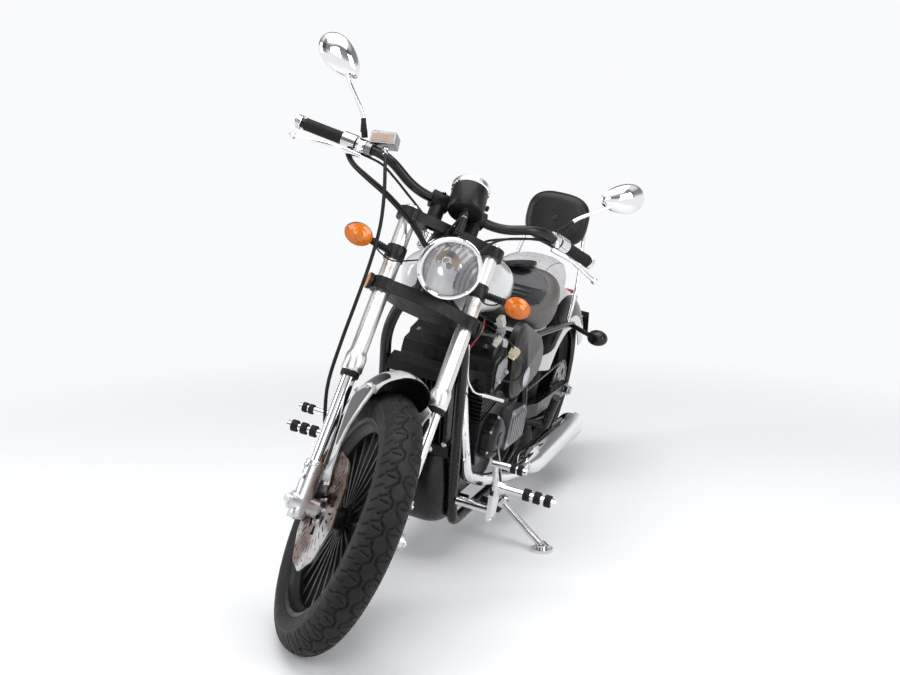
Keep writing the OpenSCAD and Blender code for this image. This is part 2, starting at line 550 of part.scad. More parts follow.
// a pan with its front swept up and its lower edges rounded
module belly_pan() color("#1c1c1e") chassis() intersection() {
  side(-pan_half, 2 * pan_half) polygon([[508, 210], [503, 150], [507, 94], [522, 46], [550, 8],
    [590, pan_low + 4], [640, pan_low - 4], [700, pan_low - 4], [700, 26], [640, 70], [600, 140], [560, 210]]);
  translate([0, 710, 0]) rotate([90, 0, 0]) linear_extrude(230) {
    for (s = [-1, 1]) translate([s * (pan_half - pan_round), pan_low + pan_round]) circle(pan_round, $fn = 96);
    translate([pan_round - pan_half, pan_low]) square([2 * (pan_half - pan_round), 280]);
    translate([-pan_half, pan_low + pan_round]) square([2 * pan_half, 280]);
  }
}
tank_gap = 0.4;
tunnel_half = spine_radius + 7;
// the tank's sections: back, half width, low, high, squareness, dish
tank_table = [[436, 66, 650, 730, 2.6, 0], [450, 96, 632, 750, 2.6, 0], [500, 126, 614, 764, 2.5, 0],
  [580, tank_half, 602, 766, 2.5, 0], [660, tank_half - 4, 592, 758, 2.5, 0], [740, 120, 588, 742, 2.5, 0],
  [790, 92, 594, 724, 2.5, 0], [806, 66, 616, 702, 2.4, 0]];
module fuel_tank() color("#f0f0f0") chassis() difference() {
  loft(tank_table);
  side(-tunnel_half, 2 * tunnel_half) polygon(concat([[spine[0].y, 540]],
    [for (i = [0:len(spine) - 1]) let (t = heading(spine, i), r = spine_radius + tank_gap)
      [spine[i].y - r * t.z, spine[i].z + r * t.y]], [[spine[len(spine) - 1].y, 410]]));
}
module fuel_cap() color("#c8c8ca") chassis() translate([0, 604, 765]) rotate([-5.5, 0, 0])
  rotate_extrude() polygon([[0, 0], [36, 0], [36, 4], [30, 7], [27, 7], [27, 14], [24, 16], [0, 16]]);
seat_table = [[811, 66, 562, 626, 2.4, 4], [850, 92, 544, 606, 2.6, 8], [940, 130, 516, 592, 2.8, 16],
  [1040, seat_half, 480, 590, 2.8, 24], [1130, seat_half, 457.6, 614, 2.8, 26],
  [1190, seat_half - 6, 455.6, 650, 2.8, 16], [1232, seat_half - 14, 458.6, 650, 2.8, 6]];
module seat() color("#5a5450") chassis() loft(seat_table);
pad_place = [0, -65, 586];
// backrest pad: behind its middle, half width, half height
pad_rings = [[-30, 80, 62], [-24, 98, 78], [-12, 106, 86], [0, 108, 88], [16, 100, 80]];
module backrest_pad() color("#1a1a1a") tail() translate(pad_place) rotate([-10, 0, 0])
  skin([for (q = pad_rings) oval(q[0], q[1], q[2], 28, 2.8)]);
bar_foot = [rail_x, -120, 263.2];
bar_knee = [rail_x, -90, 382];
bar_top = [84, -22, 642];
module sissy_bar() color("#d0d0d2") tail() {
  sweep(rounded([flip(bar_foot), flip(bar_knee), flip(bar_top), bar_top, bar_knee, bar_foot], 50), 7,
    [0, 1, 0.3], 10);
  both() rod([0, -42, 586], [98, -40, 572], 6);
}
rear_fender_mid = rear_radius - 78;
fender_top = rear_fender_mid + fender_half;
module on_fender(back) tail() rotate([-back, 0, 0]) translate([0, 0, fender_top + fit_gap]) children();
module rear_fender() color("#eeeeee") rear_hub() fender(rear_fender_mid, fender_half, 116, 248);
// the pillion lies on the fender: its sections
function fender_at(back) = sqrt(fender_top * fender_top - back * back);
pillion_table = [[-387.6, 112, fender_top - 18, fender_top + 126, 2.8, 0],
  [-320, 116, fender_top - 26, fender_top + 134, 2.8, 0],
  [-220, 106, fender_top - 28, fender_top + 134, 2.8, 0],
  [-150, 88, fender_at(-150) + 1.6, fender_top + 124, 2.8, 0],
  [-130, 70, fender_at(-130) + 5.6, fender_top + 110, 2.6, 0]];
module passenger_seat() color("#a09aa4") tail() loft(pillion_table);
module tail_light() color("#a01818") on_fender(44) {
  cylinder(h = 12, r = 26);
  translate([0, 0, 26]) cube([96, 62, 34], center = true);
}
rear_signal = [222, -90, 228];
module rear_signals() color("#26262a") tail() both() {
  rod([rail_x + rail_radius + fit_gap, -90, 248], [rear_signal.x - 26, -90, 230], 8);
  translate(rear_signal) skin([for (i = [len(signal_rings) - 1:-1:0]) let (q = signal_rings[i])
    oval(-q[0], q[1], q[2])]);
}
arm_inner = rear_crown + 18;
arm_wide = 26;
arm_high = 46;
arm_run = tail_at([0, 0, 0]) - swing_pivot;
module swingarm() color("#1e1e20") chassis() translate(swing_pivot) {
  rotate([atan2(arm_run.z, arm_run.y), 0, 0]) difference() {
    union() {
      rod([-78, 0, 0], [78, 0, 0], pivot_radius + 8);
      translate([0, 0, -arm_high / 2]) linear_extrude(arm_high) both() polygon([[0, 12], [78, 12],
        [arm_inner + arm_wide - 2, 200], [arm_inner + arm_wide, norm(arm_run) + 30],
        [arm_inner, norm(arm_run) + 30],
        [arm_inner, 215], [60, 66], [0, 66]]);
    }
    rod([-200, 0, 0], [200, 0, 0], pivot_radius + 0.4);
  }
  rod(arm_run - [arm_inner + 36, 0, 0], arm_run + [arm_inner + 36, 0, 0], axle_radius - fit_gap);
  rod(arm_run + [chain_x - sprocket_half, 0, 0], arm_run + [arm_inner + 1, 0, 0], 20);
  rod(arm_run - [rear_hub_half + fit_gap, 0, 0], arm_run - [arm_inner + 1, 0, 0], 20);
}
header = [[70, 642.8, 412.9], [72, 584, 398], [98, 590, 270], [112, 650, 130], [124, 770, 82],
  [150, 926, 56], [176.6, 980, 62.7], [178, 1040, 64]];
module exhaust() color("#c0c0c2") chassis() both() sweep(rounded(header, 26), 18, [1, 0, 0], 12);
muffler_long = 540;
module mufflers() color("#c4c4c6") chassis() both() between([178, 1040.6, 64], [190, 1590, 76])
  rotate_extrude() polygon([[0, 0], [22, 0], [muffler_radius - 6, 44], [muffler_radius, 66],
    [muffler_radius, muffler_long - 48], [muffler_radius - 2, muffler_long - 40],
    [muffler_radius - 10, muffler_long], [muffler_radius - 14, muffler_long],
    [muffler_radius - 16, muffler_long - 70], [0, muffler_long - 70]]);
shift_peg = [[236, 448, 262], [332, 446, 264]];
peg_start = [256, 546, 165];
peg_end = [404, 546, 165];
peg_radius = 10;
module foot_controls() color("#c8c8ca") chassis() both() {
  rod([126, 562, 86], [232, 566, 86], 13);
  side(222, 12) polygon([[540, 62], [590, 68], [596, 112], [566, 150], [552, 186], [530, 180],
    [528, 140]]);
  rod([228, 546, 165], peg_start, 15);
  rod(peg_start - [1, 0, 0], peg_end, peg_radius);
  rod([233, 554, 136], [244, 450, 260], 8);
  rod(shift_peg[0], shift_peg[1], 9);
}
// rubber rings: first ring outboard, pitch and width
ring_first = 312;
ring_pitch = 30;
ring_wide = 18;
module peg_rubbers() color("#151515") chassis() both() {
  for (k = [0:2]) let (x = ring_first + ring_pitch * k)
    sleeve([x, peg_end.y, peg_end.z], [x + ring_wide, peg_end.y, peg_end.z], 17, peg_radius + fit_gap);
  for (k = [0.55, 0.75])
    sleeve(mix(shift_peg[0], shift_peg[1], k), mix(shift_peg[0], shift_peg[1], k + 0.14), 14, 9 + fit_gap);
}
module passenger_pegs() color("#c0c0c2") chassis() both() {
  rod([138.6, 1092, 186], [208, 1114, 188], 11);
  rod([200, 1116, 182], [230, 1067, 296], 14);
}
plate_spacing = 140;
module plate_bracket() color("#1c1c1e") on_fender(61) {
  difference() {
    translate([0, 6, 14]) cube([190, 110, 4], center = true);
    for (s = [-1, 1]) translate([s * plate_spacing / 2, -26, 0]) cylinder(h = 30, r = 3.5);
  }
  cylinder(h = 13, r = 18);
}
module rear_tyre() color("#202022") rear_hub()
  rotate_extrude($fn = 96) tyre_section(rear_radius, rear_crown, rear_bead, rear_rim_half);
module rear_wheel() color("#1a1a1c") rear_hub()
  wheel(rear_bead, rear_rim_half, 46, chain_x - sprocket_half - fit_gap, rear_hub_half, rear_spokes);
rear_disc_radius = 115;
rear_disc_side = rear_hub_half + fit_gap + disc_thick / 2;
module rear_disc() color("#a8a8a8") rear_hub() translate([0, 0, -rear_disc_side - disc_thick / 2])
  disc(rear_disc_radius, 24, 10);
module rear_caliper() color("#242426") rear_hub() translate([0, 0, -rear_disc_side])
  caliper(rear_disc_radius, [222, 268]);

front_tyre();
front_wheel();
front_disc();
fork_tubes();
fork_lowers();
fork_bottoms();
upper_clamp();
lower_clamp();
handlebar();
grips();
levers();
hand_controls();
master_cylinder();
mirrors();
mirror_glasses();
speedometer();
headlight_shell();
headlight_lens();
signal_stalks();
signal_lenses();
front_fender();
fender_stays();
front_caliper();
brake_hose();
frame();
engine_block();
cylinder_head();
engine_covers();
sprocket_cover();
side_covers();
radiator();
belly_pan();
fuel_tank();
fuel_cap();
seat();
passenger_seat();
backrest_pad();
sissy_bar();
rear_fender();
tail_light();
rear_signals();
swingarm();
exhaust();
mufflers();
foot_controls();
peg_rubbers();
passenger_pegs();
plate_bracket();
rear_tyre();
rear_wheel();
rear_disc();
rear_caliper();
rear_sprocket();
drive_chain();
side_stand();
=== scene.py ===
from math import acos, atan2, copysign, cos, degrees, hypot, pi, radians, sin, sqrt, tau
import bpy
import bmesh
import numpy as np
from mathutils import Matrix, Vector
from mathutils.bvhtree import BVHTree


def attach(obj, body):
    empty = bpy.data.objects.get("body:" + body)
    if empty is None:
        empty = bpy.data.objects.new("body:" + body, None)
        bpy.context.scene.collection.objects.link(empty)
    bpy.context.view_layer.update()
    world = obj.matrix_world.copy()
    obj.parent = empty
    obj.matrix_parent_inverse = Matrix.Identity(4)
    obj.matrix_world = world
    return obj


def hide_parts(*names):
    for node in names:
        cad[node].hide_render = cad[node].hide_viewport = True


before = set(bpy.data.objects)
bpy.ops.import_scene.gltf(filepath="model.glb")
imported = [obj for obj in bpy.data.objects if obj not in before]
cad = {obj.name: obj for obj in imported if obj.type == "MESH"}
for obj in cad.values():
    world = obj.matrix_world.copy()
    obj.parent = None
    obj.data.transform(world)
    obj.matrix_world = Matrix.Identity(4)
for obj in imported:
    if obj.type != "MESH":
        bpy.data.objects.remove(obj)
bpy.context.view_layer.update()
scene = bpy.context.scene

# Places on the bike, in millimetres: upright bike, frame, rear axle, turned fork, front axle.


def move(x, y, z):
    return Matrix.Translation((x, y, z))


def turn(angle, axis):
    return Matrix.Rotation(radians(angle), 4, axis)


RAKE, STEER, LEAN, PITCH = 31, 35, 10.8, 0.5502705
WHEELBASE, FRONT_R, REAR_R, OFFSET = 1620, 331, 318, 45
LEG, TOP_CLAMP, CHASSIS_UP, BAR_R = 118, 781, 150, 12.7
SIN, COS = sin(radians(RAKE)), cos(radians(RAKE))
MM = Matrix.Scale(0.001, 4)
PARKED = MM @ move(-134.67, -836.84, -13.76272) @ turn(LEAN, "Y") @ turn(PITCH, "X")
CHASSIS = PARKED @ move(0, 0, CHASSIS_UP)
TAIL = PARKED @ move(0, WHEELBASE, REAR_R)
HEAD = PARKED @ move(0, OFFSET * COS, FRONT_R - OFFSET * SIN) @ turn(-RAKE, "X")
STEERED = HEAD @ turn(STEER, "Z")
FRONT_HUB = STEERED @ move(0, -OFFSET, 0) @ turn(90, "Y")
REAR_HUB = TAIL @ turn(90, "Y")
FLIP = Matrix.Scale(-1, 4, (1, 0, 0))


def fp(s, h, d):
    """A point on the fork: across, up from the axle, ahead of the axle line."""
    return Vector((s, -OFFSET - d, h))


def bp(s, h, d):
    """A point above the upper clamp."""
    return fp(s, TOP_CLAMP + h, d)


def head_at(h):
    """A point of the steering axis in the chassis."""
    return Vector((0, OFFSET * COS + h * SIN, FRONT_R - CHASSIS_UP - OFFSET * SIN + h * COS))


def tail_at(x, y, z):
    return Vector((x, WHEELBASE + y, REAR_R + z - CHASSIS_UP))


def mix(a, b, t):
    return a + (b - a) * t


def circle(n):
    return [(cos(tau * i / n), sin(tau * i / n)) for i in range(n)]


def aimed(p, axis):
    """A place at p whose z looks along the axis."""
    return Matrix.Translation(p) @ Vector(axis).to_track_quat("Z", "Y").to_matrix().to_4x4()


def side_flip(p):
    return Vector((-p[0], p[1], p[2]))


# Materials.
MATS = {}


def mixed(tree, fac, a, b):
    """A mix of two colours or outputs."""
    n = tree.nodes.new("ShaderNodeMix")
    n.data_type = "RGBA"
    tree.links.new(fac, n.inputs["Factor"])
    for key, x in ((6, a), (7, b)):
        if isinstance(x, tuple):
            n.inputs[key].default_value = (*x, 1)
        else:
            tree.links.new(x, n.inputs[key])
    return n.outputs[2]


def surface(name, colour, rough, metal=0.0, blotch=0.12, spread=0.12, grain=350.0, bump=0.15, depth=0.0003,
            stretch=(1, 1, 1), cells=0.0, tint=None, tint_scale=30.0, tint_cut=(0.5, 0.62), **sockets):
    """A finish with patches in its colour, uneven gloss and a fine relief; tint adds spots of a second colour."""
    mat = bpy.data.materials.new(name)
    mat.use_nodes = True
    nodes, links = mat.node_tree.nodes, mat.node_tree.links
    bsdf = nodes["Principled BSDF"]
    coord = nodes.new("ShaderNodeTexCoord")
    place = nodes.new("ShaderNodeMapping")
    place.inputs["Scale"].default_value = stretch
    links.new(coord.outputs["Object"], place.inputs["Vector"])

    def noise(scale, detail=4.0):
        n = nodes.new("ShaderNodeTexNoise")
        n.inputs["Scale"].default_value = scale
        n.inputs["Detail"].default_value = detail
        links.new(place.outputs["Vector"], n.inputs["Vector"])
        return n.outputs["Fac"]

    def ranged(value, a, b, c=0.3, d=0.7):
        n = nodes.new("ShaderNodeMapRange")
        for k, x in zip(("From Min", "From Max", "To Min", "To Max"), (c, d, a, b)):
            n.inputs[k].default_value = x
        links.new(value, n.inputs["Value"])
        return n.outputs["Result"]

    low = tuple(c * (1 - blotch) for c in colour)
    high = tuple(min(1, c * (1 + blotch)) for c in colour)
    shade = mixed(mat.node_tree, ranged(noise(9.0, 5.0), 0, 1), low, high)
    gloss = ranged(noise(60.0, 6.0), max(0.0, rough - spread / 2), rough + spread / 2)
    if tint:
        spots = ranged(noise(tint_scale, 8.0), 0, 1, *tint_cut)
        shade = mixed(mat.node_tree, spots, shade, tint)
    links.new(shade, bsdf.inputs["Base Color"])
    links.new(gloss, bsdf.inputs["Roughness"])
    bsdf.inputs["Metallic"].default_value = metal
    relief = noise(grain, 3.0)
    if cells:
        cell = nodes.new("ShaderNodeTexVoronoi")
        cell.inputs["Scale"].default_value = cells
        links.new(place.outputs["Vector"], cell.inputs["Vector"])
        relief = ranged(cell.outputs["Distance"], 1, 0, 0.0, 0.7)
    bumps = nodes.new("ShaderNodeBump")
    bumps.inputs["Strength"].default_value = bump
    bumps.inputs["Distance"].default_value = depth
    links.new(relief, bumps.inputs["Height"])
    links.new(bumps.outputs["Normal"], bsdf.inputs["Normal"])
    for key, value in sockets.items():
        bsdf.inputs[key.replace("_", " ")].default_value = value
    MATS[name] = mat


surface("tyre", (0.0075, 0.0074, 0.0072), 0.62, blotch=0.3, spread=0.2, grain=500, bump=0.3,
        tint=(0.013, 0.0128, 0.012), tint_scale=14, Specular_IOR_Level=0.28)
surface("tyre_line", (0.03, 0.028, 0.018), 0.6, Specular_IOR_Level=0.25)
surface("wheel_black", (0.005, 0.005, 0.0055), 0.36, blotch=0.3, spread=0.16, Specular_IOR_Level=0.25)
surface("disc", (0.5, 0.49, 0.48), 0.32, 1.0, tint=(0.11, 0.045, 0.024), tint_scale=5, tint_cut=(0.44, 0.56),
        grain=900, bump=0.25)
surface("fork_polish", (0.8, 0.785, 0.77), 0.3, 1.0, blotch=0.04, spread=0.1, stretch=(60, 60, 3), grain=12,
        bump=0.04)
surface("chrome", (0.86, 0.86, 0.87), 0.05, 1.0, blotch=0.03, spread=0.05, grain=40, bump=0.02)
surface("chrome_soft", (0.72, 0.72, 0.73), 0.16, 1.0, blotch=0.06, spread=0.12, grain=120, bump=0.06)
surface("cast", (0.66, 0.66, 0.67), 0.34, 1.0, blotch=0.08, spread=0.16, grain=700, bump=0.3)
surface("black_metal", (0.004, 0.004, 0.0045), 0.26, blotch=0.3, spread=0.14, grain=600, bump=0.12,
        Specular_IOR_Level=0.4)
surface("black_satin", (0.0065, 0.0065, 0.007), 0.42, blotch=0.3, spread=0.16, grain=800, bump=0.2,
        Specular_IOR_Level=0.25)
surface("rubber", (0.006, 0.006, 0.006), 0.55, blotch=0.3, spread=0.14, grain=900, bump=0.25, Specular_IOR_Level=0.25)
surface("black_plastic", (0.006, 0.006, 0.0065), 0.34, blotch=0.2, spread=0.14, grain=1200, bump=0.2,
        Specular_IOR_Level=0.3)
surface("white_paint", (0.74, 0.745, 0.75), 0.16, blotch=0.015, spread=0.06, grain=120, bump=0.02, Coat_Weight=0.8,
        Coat_Roughness=0.04)
surface("black_paint", (0.003, 0.003, 0.0035), 0.22, blotch=0.2, spread=0.06, grain=120, bump=0.02,
        Specular_IOR_Level=0.18)
surface("stripe_grey", (0.012, 0.012, 0.013), 0.25, blotch=0.1, Specular_IOR_Level=0.2)
surface("engine_black", (0.006, 0.006, 0.0065), 0.3, blotch=0.3, spread=0.2, grain=700, bump=0.25,
        Specular_IOR_Level=0.35)
surface("engine_grey", (0.3, 0.3, 0.31), 0.36, 1.0, blotch=0.1, spread=0.16, grain=700, bump=0.25)
surface("cover_grey", (0.045, 0.043, 0.042), 0.34, 0.8, blotch=0.12, spread=0.1, grain=900, bump=0.08,
        Specular_IOR_Level=0.3)
surface("badge", (0.62, 0.62, 0.66), 0.22, 0.6, blotch=0.1, grain=300)
surface("leather", (0.1, 0.09, 0.084), 0.44, blotch=0.14, spread=0.18, cells=420, bump=0.35, depth=0.0005,
        Specular_IOR_Level=0.35)
surface("leather_dark", (0.01, 0.0105, 0.013), 0.24, blotch=0.2, spread=0.12, cells=420, bump=0.25, depth=0.0004,
        Specular_IOR_Level=0.5)
surface("leather_black", (0.006, 0.006, 0.006), 0.34, blotch=0.25, spread=0.16, cells=420, bump=0.35, depth=0.0005,
        Specular_IOR_Level=0.35)
surface("leather_grey", (0.56, 0.545, 0.56), 0.3, blotch=0.1, spread=0.16, cells=420, bump=0.35, depth=0.0005)
surface("thread", (0.06, 0.055, 0.05), 0.8, grain=2000, bump=0.4)
surface("amber", (0.98, 0.25, 0.001), 0.1, blotch=0.06, spread=0.05, grain=400, bump=0.12, Transmission_Weight=0.35,
        IOR=1.45, Coat_Weight=0.4)
surface("amber_bulb", (0.5, 0.07, 0.002), 0.25, blotch=0.1, spread=0.05)
surface("smoke", (0.01, 0.009, 0.009), 0.14, blotch=0.1, spread=0.05, Specular_IOR_Level=0.4)
surface("red_lens", (0.36, 0.004, 0.004), 0.14, blotch=0.06, spread=0.05, Transmission_Weight=0.2,
        Specular_IOR_Level=0.4)
surface("clear", (0.98, 0.985, 0.99), 0.0, blotch=0.004, spread=0.004, grain=30, bump=0.003, Transmission_Weight=1.0,
        IOR=1.12, Coat_Weight=0.5)
surface("mirror", (0.9, 0.91, 0.92), 0.01, 1.0, blotch=0.01, spread=0.01, grain=30, bump=0.004)
surface("bulb", (0.95, 0.93, 0.85), 0.08, blotch=0.02, Transmission_Weight=0.5)
surface("dial", (0.02, 0.02, 0.022), 0.5, blotch=0.1, grain=900)
surface("print", (0.75, 0.75, 0.74), 0.5, blotch=0.02)
surface("needle", (0.6, 0.04, 0.02), 0.4, blotch=0.05)
surface("steel_oiled", (0.23, 0.22, 0.2), 0.32, 1.0, blotch=0.2, spread=0.2, tint=(0.08, 0.06, 0.04), tint_scale=60)
surface("cable", (0.005, 0.005, 0.005), 0.4, blotch=0.2, grain=700, bump=0.15, Specular_IOR_Level=0.25)
surface("lid", (0.34, 0.26, 0.2), 0.4, 0.35, blotch=0.1, spread=0.14, grain=500, bump=0.15)
# Painted reflections for the headlight's reflector in dark, mid, light and warm tones. The dark one also colours the
# bulb's shading cap.
surface("painted_reflection_dark_and_cap", (0.22, 0.21, 0.21), 0.24, 0.4, blotch=0.15, spread=0.08, grain=80, bump=0.05)
surface("painted_reflection_mid", (0.52, 0.5, 0.51), 0.2, 0.6, blotch=0.1, spread=0.08, grain=80, bump=0.05)
surface("painted_reflection_light", (0.8, 0.8, 0.82), 0.18, 0.5, blotch=0.06, spread=0.08, grain=80, bump=0.05)
surface("painted_reflection_warm", (0.44, 0.34, 0.26), 0.22, 0.5, blotch=0.15, spread=0.08, grain=80, bump=0.05)
surface("wire_red", (0.42, 0.02, 0.015), 0.4, blotch=0.1)
surface("plug_cream", (0.68, 0.62, 0.44), 0.4, blotch=0.06, grain=500)
surface("plug_grey", (0.3, 0.31, 0.32), 0.4, blotch=0.06, grain=500)
surface("plug_white", (0.66, 0.65, 0.58), 0.35, blotch=0.06, grain=500)


def turn_outward(me):
    bm = bmesh.new()
    bm.from_mesh(me)
    bmesh.ops.recalc_face_normals(bm, faces=bm.faces)
    bm.to_mesh(me)
    bm.free()


def finish_mesh(name, me, body, mats, of=(), smooth=35, bevel=0.0, normals=True):
    if normals:
        turn_outward(me)
    for m in mats:
        me.materials.append(MATS[m])
    me.polygons.foreach_set("use_smooth", [True] * len(me.polygons))
    me.set_sharp_from_angle(angle=radians(smooth))
    o = bpy.data.objects.new(name, me)
    scene.collection.objects.link(o)
    if bevel:
        b = o.modifiers.new("edges", "BEVEL")
        b.width = bevel / 1000
        b.segments = 2
        b.limit_method = "ANGLE"
        b.angle_limit = radians(40)
        b.harden_normals = True
        b.use_clamp_overlap = True
    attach(o, body)
    if of:
        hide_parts(*of)
    return o


class Build:
    """Collects shapes in millimetres into one piece."""

    def __init__(self, place=None):
        self.v, self.f, self.m, self.place = [], [], [], place or Matrix.Identity(4)

    def add(self, verts, faces, mat=0, at=None):
        n = len(self.v)
        self.v += [self.place @ ((at @ Vector(p)) if at else Vector(p)) for p in verts]
        self.f += [[i + n for i in face] for face in faces]
        self.m += [mat] * len(faces)

    def rings(self, rings, mat=0, caps=(True, True), at=None, loop=False):
        k, n = len(rings), len(rings[0])
        faces = [[j * n + i, j * n + (i + 1) % n, ((j + 1) % k) * n + (i + 1) % n, ((j + 1) % k) * n + i]
                for j in range(k if loop else k - 1) for i in range(n)]
        if caps[0] and not loop:
            faces.append(list(range(n)))
        if caps[1] and not loop:
            faces.append([(k - 1) * n + i for i in range(n)])
        self.add([p for r in rings for p in r], faces, mat, at)

    def spin(self, profile, at=None, n=48, mat=0, loop=False, caps=(True, True)):
        """A profile of (radius, height) turned about z."""
        self.rings([[(max(r, 0.05) * c, max(r, 0.05) * s, z) for c, s in circle(n)] for r, z in profile], mat, caps,
                at, loop)

    def tube(self, path, radius, n=20, mat=0):
        pts = [Vector(p) for p in path]
        radii = radius if isinstance(radius, (list, tuple)) else [radius] * len(pts)
        rings, side = [], None
        for i, p in enumerate(pts):
            t = (pts[min(i + 1, len(pts) - 1)] - pts[max(i - 1, 0)]).normalized()
            if side is None:
                side = t.orthogonal().normalized()
            side = (side - t * side.dot(t)).normalized()
            up = t.cross(side)
            rings.append([p + (side * c + up * s) * radii[i] for c, s in circle(n)])
        self.rings(rings, mat)

    def rod(self, a, b, r, n=28, mat=0):
        self.tube([a, mix(a, b, 0.5), b], r, n, mat)

    def spin_between(self, a, b, profile, n=48, mat=0, caps=(True, True)):
        """A profile of (radius, millimetres from a) turned about the line from a to b."""
        self.spin(profile, aimed(a, (Vector(b) - Vector(a)).normalized()), n, mat, caps=caps)

    def bolt(self, p, axis, r, mat=0, socket=False):
        """A screw head on a washer, standing out along the axis."""
        at = aimed(p, axis)
        self.spin([(1.55 * r, 0), (1.55 * r, 0.22 * r), (0.1, 0.22 * r)], at, 20, mat)
        if socket:
            self.spin([(r, 0.2 * r), (r, 0.95 * r), (0.85 * r, 1.1 * r), (0.52 * r, 1.1 * r), (0.5 * r, 0.5 * r),
                    (0, 0.5 * r)], at, 18, mat)
        else:
            self.spin([(1.1 * r, 0.2 * r), (1.1 * r, 0.8 * r), (0.9 * r, r), (0, r)], at, 6, mat)

    def block(self, centre, size, at=None, mat=0):
        x, y, z = (s / 2 for s in size)
        c = Vector(centre)
        self.add([c + Vector((i * x, j * y, k * z)) for i in (-1, 1) for j in (-1, 1) for k in (-1, 1)],
                [[0, 1, 3, 2], [4, 6, 7, 5], [0, 4, 5, 1], [2, 3, 7, 6], [0, 2, 6, 4], [1, 5, 7, 3]], mat, at)

    def prism(self, outline, x, width, mat=0):
        """A side outline of (back, up) pushed across from x."""
        self.rings([[(x, y, z) for y, z in outline], [(x + width, y, z) for y, z in outline]], mat)

    def mirrored(self):
        """The same shapes again on the other side of the place's own middle plane."""
        n, k = len(self.v), len(self.f)
        back = self.place @ FLIP @ self.place.inverted()
        self.v += [back @ p for p in self.v]
        self.f += [[i + n for i in f] for f in self.f[:k]]
        self.m += self.m[:k]
        return self

    def put(self, name, body, mats, of=(), smooth=35, bevel=0.0):
        me = bpy.data.meshes.new(name)
        me.from_pydata([tuple(p) for p in self.v], [], self.f)
        me.polygons.foreach_set("material_index", self.m)
        return finish_mesh(name, me, body, mats, of, smooth, bevel)


def rounded(path, reach, n=8):
    """A path with its corners rounded off by the reach."""
    p = [Vector(q) for q in path]
    out = [p[0]]
    for i in range(1, len(p) - 1):
        a = p[i] + (p[i - 1] - p[i]).normalized() * reach
        b = p[i] + (p[i + 1] - p[i]).normalized() * reach
        for k in range(n + 1):
            t = k / n
            out.append(a * (1 - t) ** 2 + p[i] * (2 * t * (1 - t)) + b * t * t)
    return out + [p[-1]]


def soft(outline, times=3):
    """An outline with its corners cut round."""
    for _ in range(times):
        sides = zip(outline, outline[1:] + outline[:1])
        outline = [(mix(a[0], b[0], t), mix(a[1], b[1], t)) for a, b in sides for t in (0.25, 0.75)]
    return outline


def curve_through(rows, n):
    """Rows between the rows of a table, on one smooth curve."""
    q = np.array(rows, float)
    out, last = [], len(q) - 1
    for i in range(last):
        a, b, c, d = q[max(i - 1, 0)], q[i], q[i + 1], q[min(i + 2, last)]
        for k in range(n):
            t = k / n
            bend, twist = 2 * a - 5 * b + 4 * c - d, 3 * b - a - 3 * c + d
            out.append(b + t / 2 * (c - a) + t * t / 2 * bend + t ** 3 / 2 * twist)
    return out + [q[last]]


def bulge(c, e):
    return copysign(abs(c) ** (2 / e), c)


def loft_rings(table, n=72, steps=10):
    """Rounded sections: back, half width, low, high, squareness, dish of the top."""
    rings = []
    for q in curve_through(table, steps):
        ring = []
        for x, u in circle(n):
            x, u = bulge(x, q[4]), bulge(u, q[4])
            dip = q[5] * (1 - x * x) * u if u > 0 else 0
            ring.append((q[1] * x, q[0], (q[2] + q[3]) / 2 + (q[3] - q[2]) / 2 * u - dip))
        rings.append(ring)
    return rings


def ellipse(y, a, c, n, e=2.0):
    return [(a * bulge(x, e), y, c * bulge(z, e)) for x, z in circle(n)]


def egg(y, a, c, n):
    """An oval ring that is fuller at its outer end."""
    return [(x, y, z * (1 + 0.22 * x / a)) for x, y, z in ellipse(y, a, c, n)]


def oval_rings(table, n=40, steps=5, e=2.0):
    return [ellipse(q[0], q[1], q[2], n, e) for q in curve_through(table, steps)]


def from_cad(node, body, mats, bevel=0.0, smooth=32, name=None, paint=None):
    """The CAD piece again with its edges broken and its round faces smooth."""
    bm = bmesh.new()
    bm.from_mesh(cad[node].data)
    bmesh.ops.remove_doubles(bm, verts=bm.verts, dist=2e-5)
    bmesh.ops.dissolve_limit(bm, angle_limit=radians(0.6), verts=bm.verts, edges=bm.edges)
    me = bpy.data.meshes.new(name or node + "_trim")
    bm.to_mesh(me)
    bm.free()
    me.materials.clear()
    me.polygons.foreach_set("material_index", [paint(p) if paint else 0 for p in me.polygons])
    return finish_mesh(name or node + "_trim", me, body, mats, (node,), smooth, bevel, normals=False)


def trim(body, *rows):
    """CAD pieces that keep their shape: node, finish, width of the broken edge, smooth angle."""
    for node, mat, *rest in rows:
        from_cad(node, body, [mat], *rest)


# Camera and cables first.
cam = bpy.data.objects.new("camera", bpy.data.cameras.new("camera"))
scene.collection.objects.link(cam)
right = Vector((0.939808, 0.341699, 0.001231))
up = Vector((-0.063841, 0.172044, 0.983018))
ahead = Vector((-0.335685, 0.923928, -0.183503))
looking = Matrix((right, up, -ahead)).transposed().to_4x4()
cam.matrix_world = Matrix.Translation((1.23310, -3.63347, 1.32132)) @ looking
cam.data.lens, cam.data.sensor_width, cam.data.sensor_fit = 53.7045, 36, "HORIZONTAL"
cam.data.clip_end = 200
scene.camera = cam


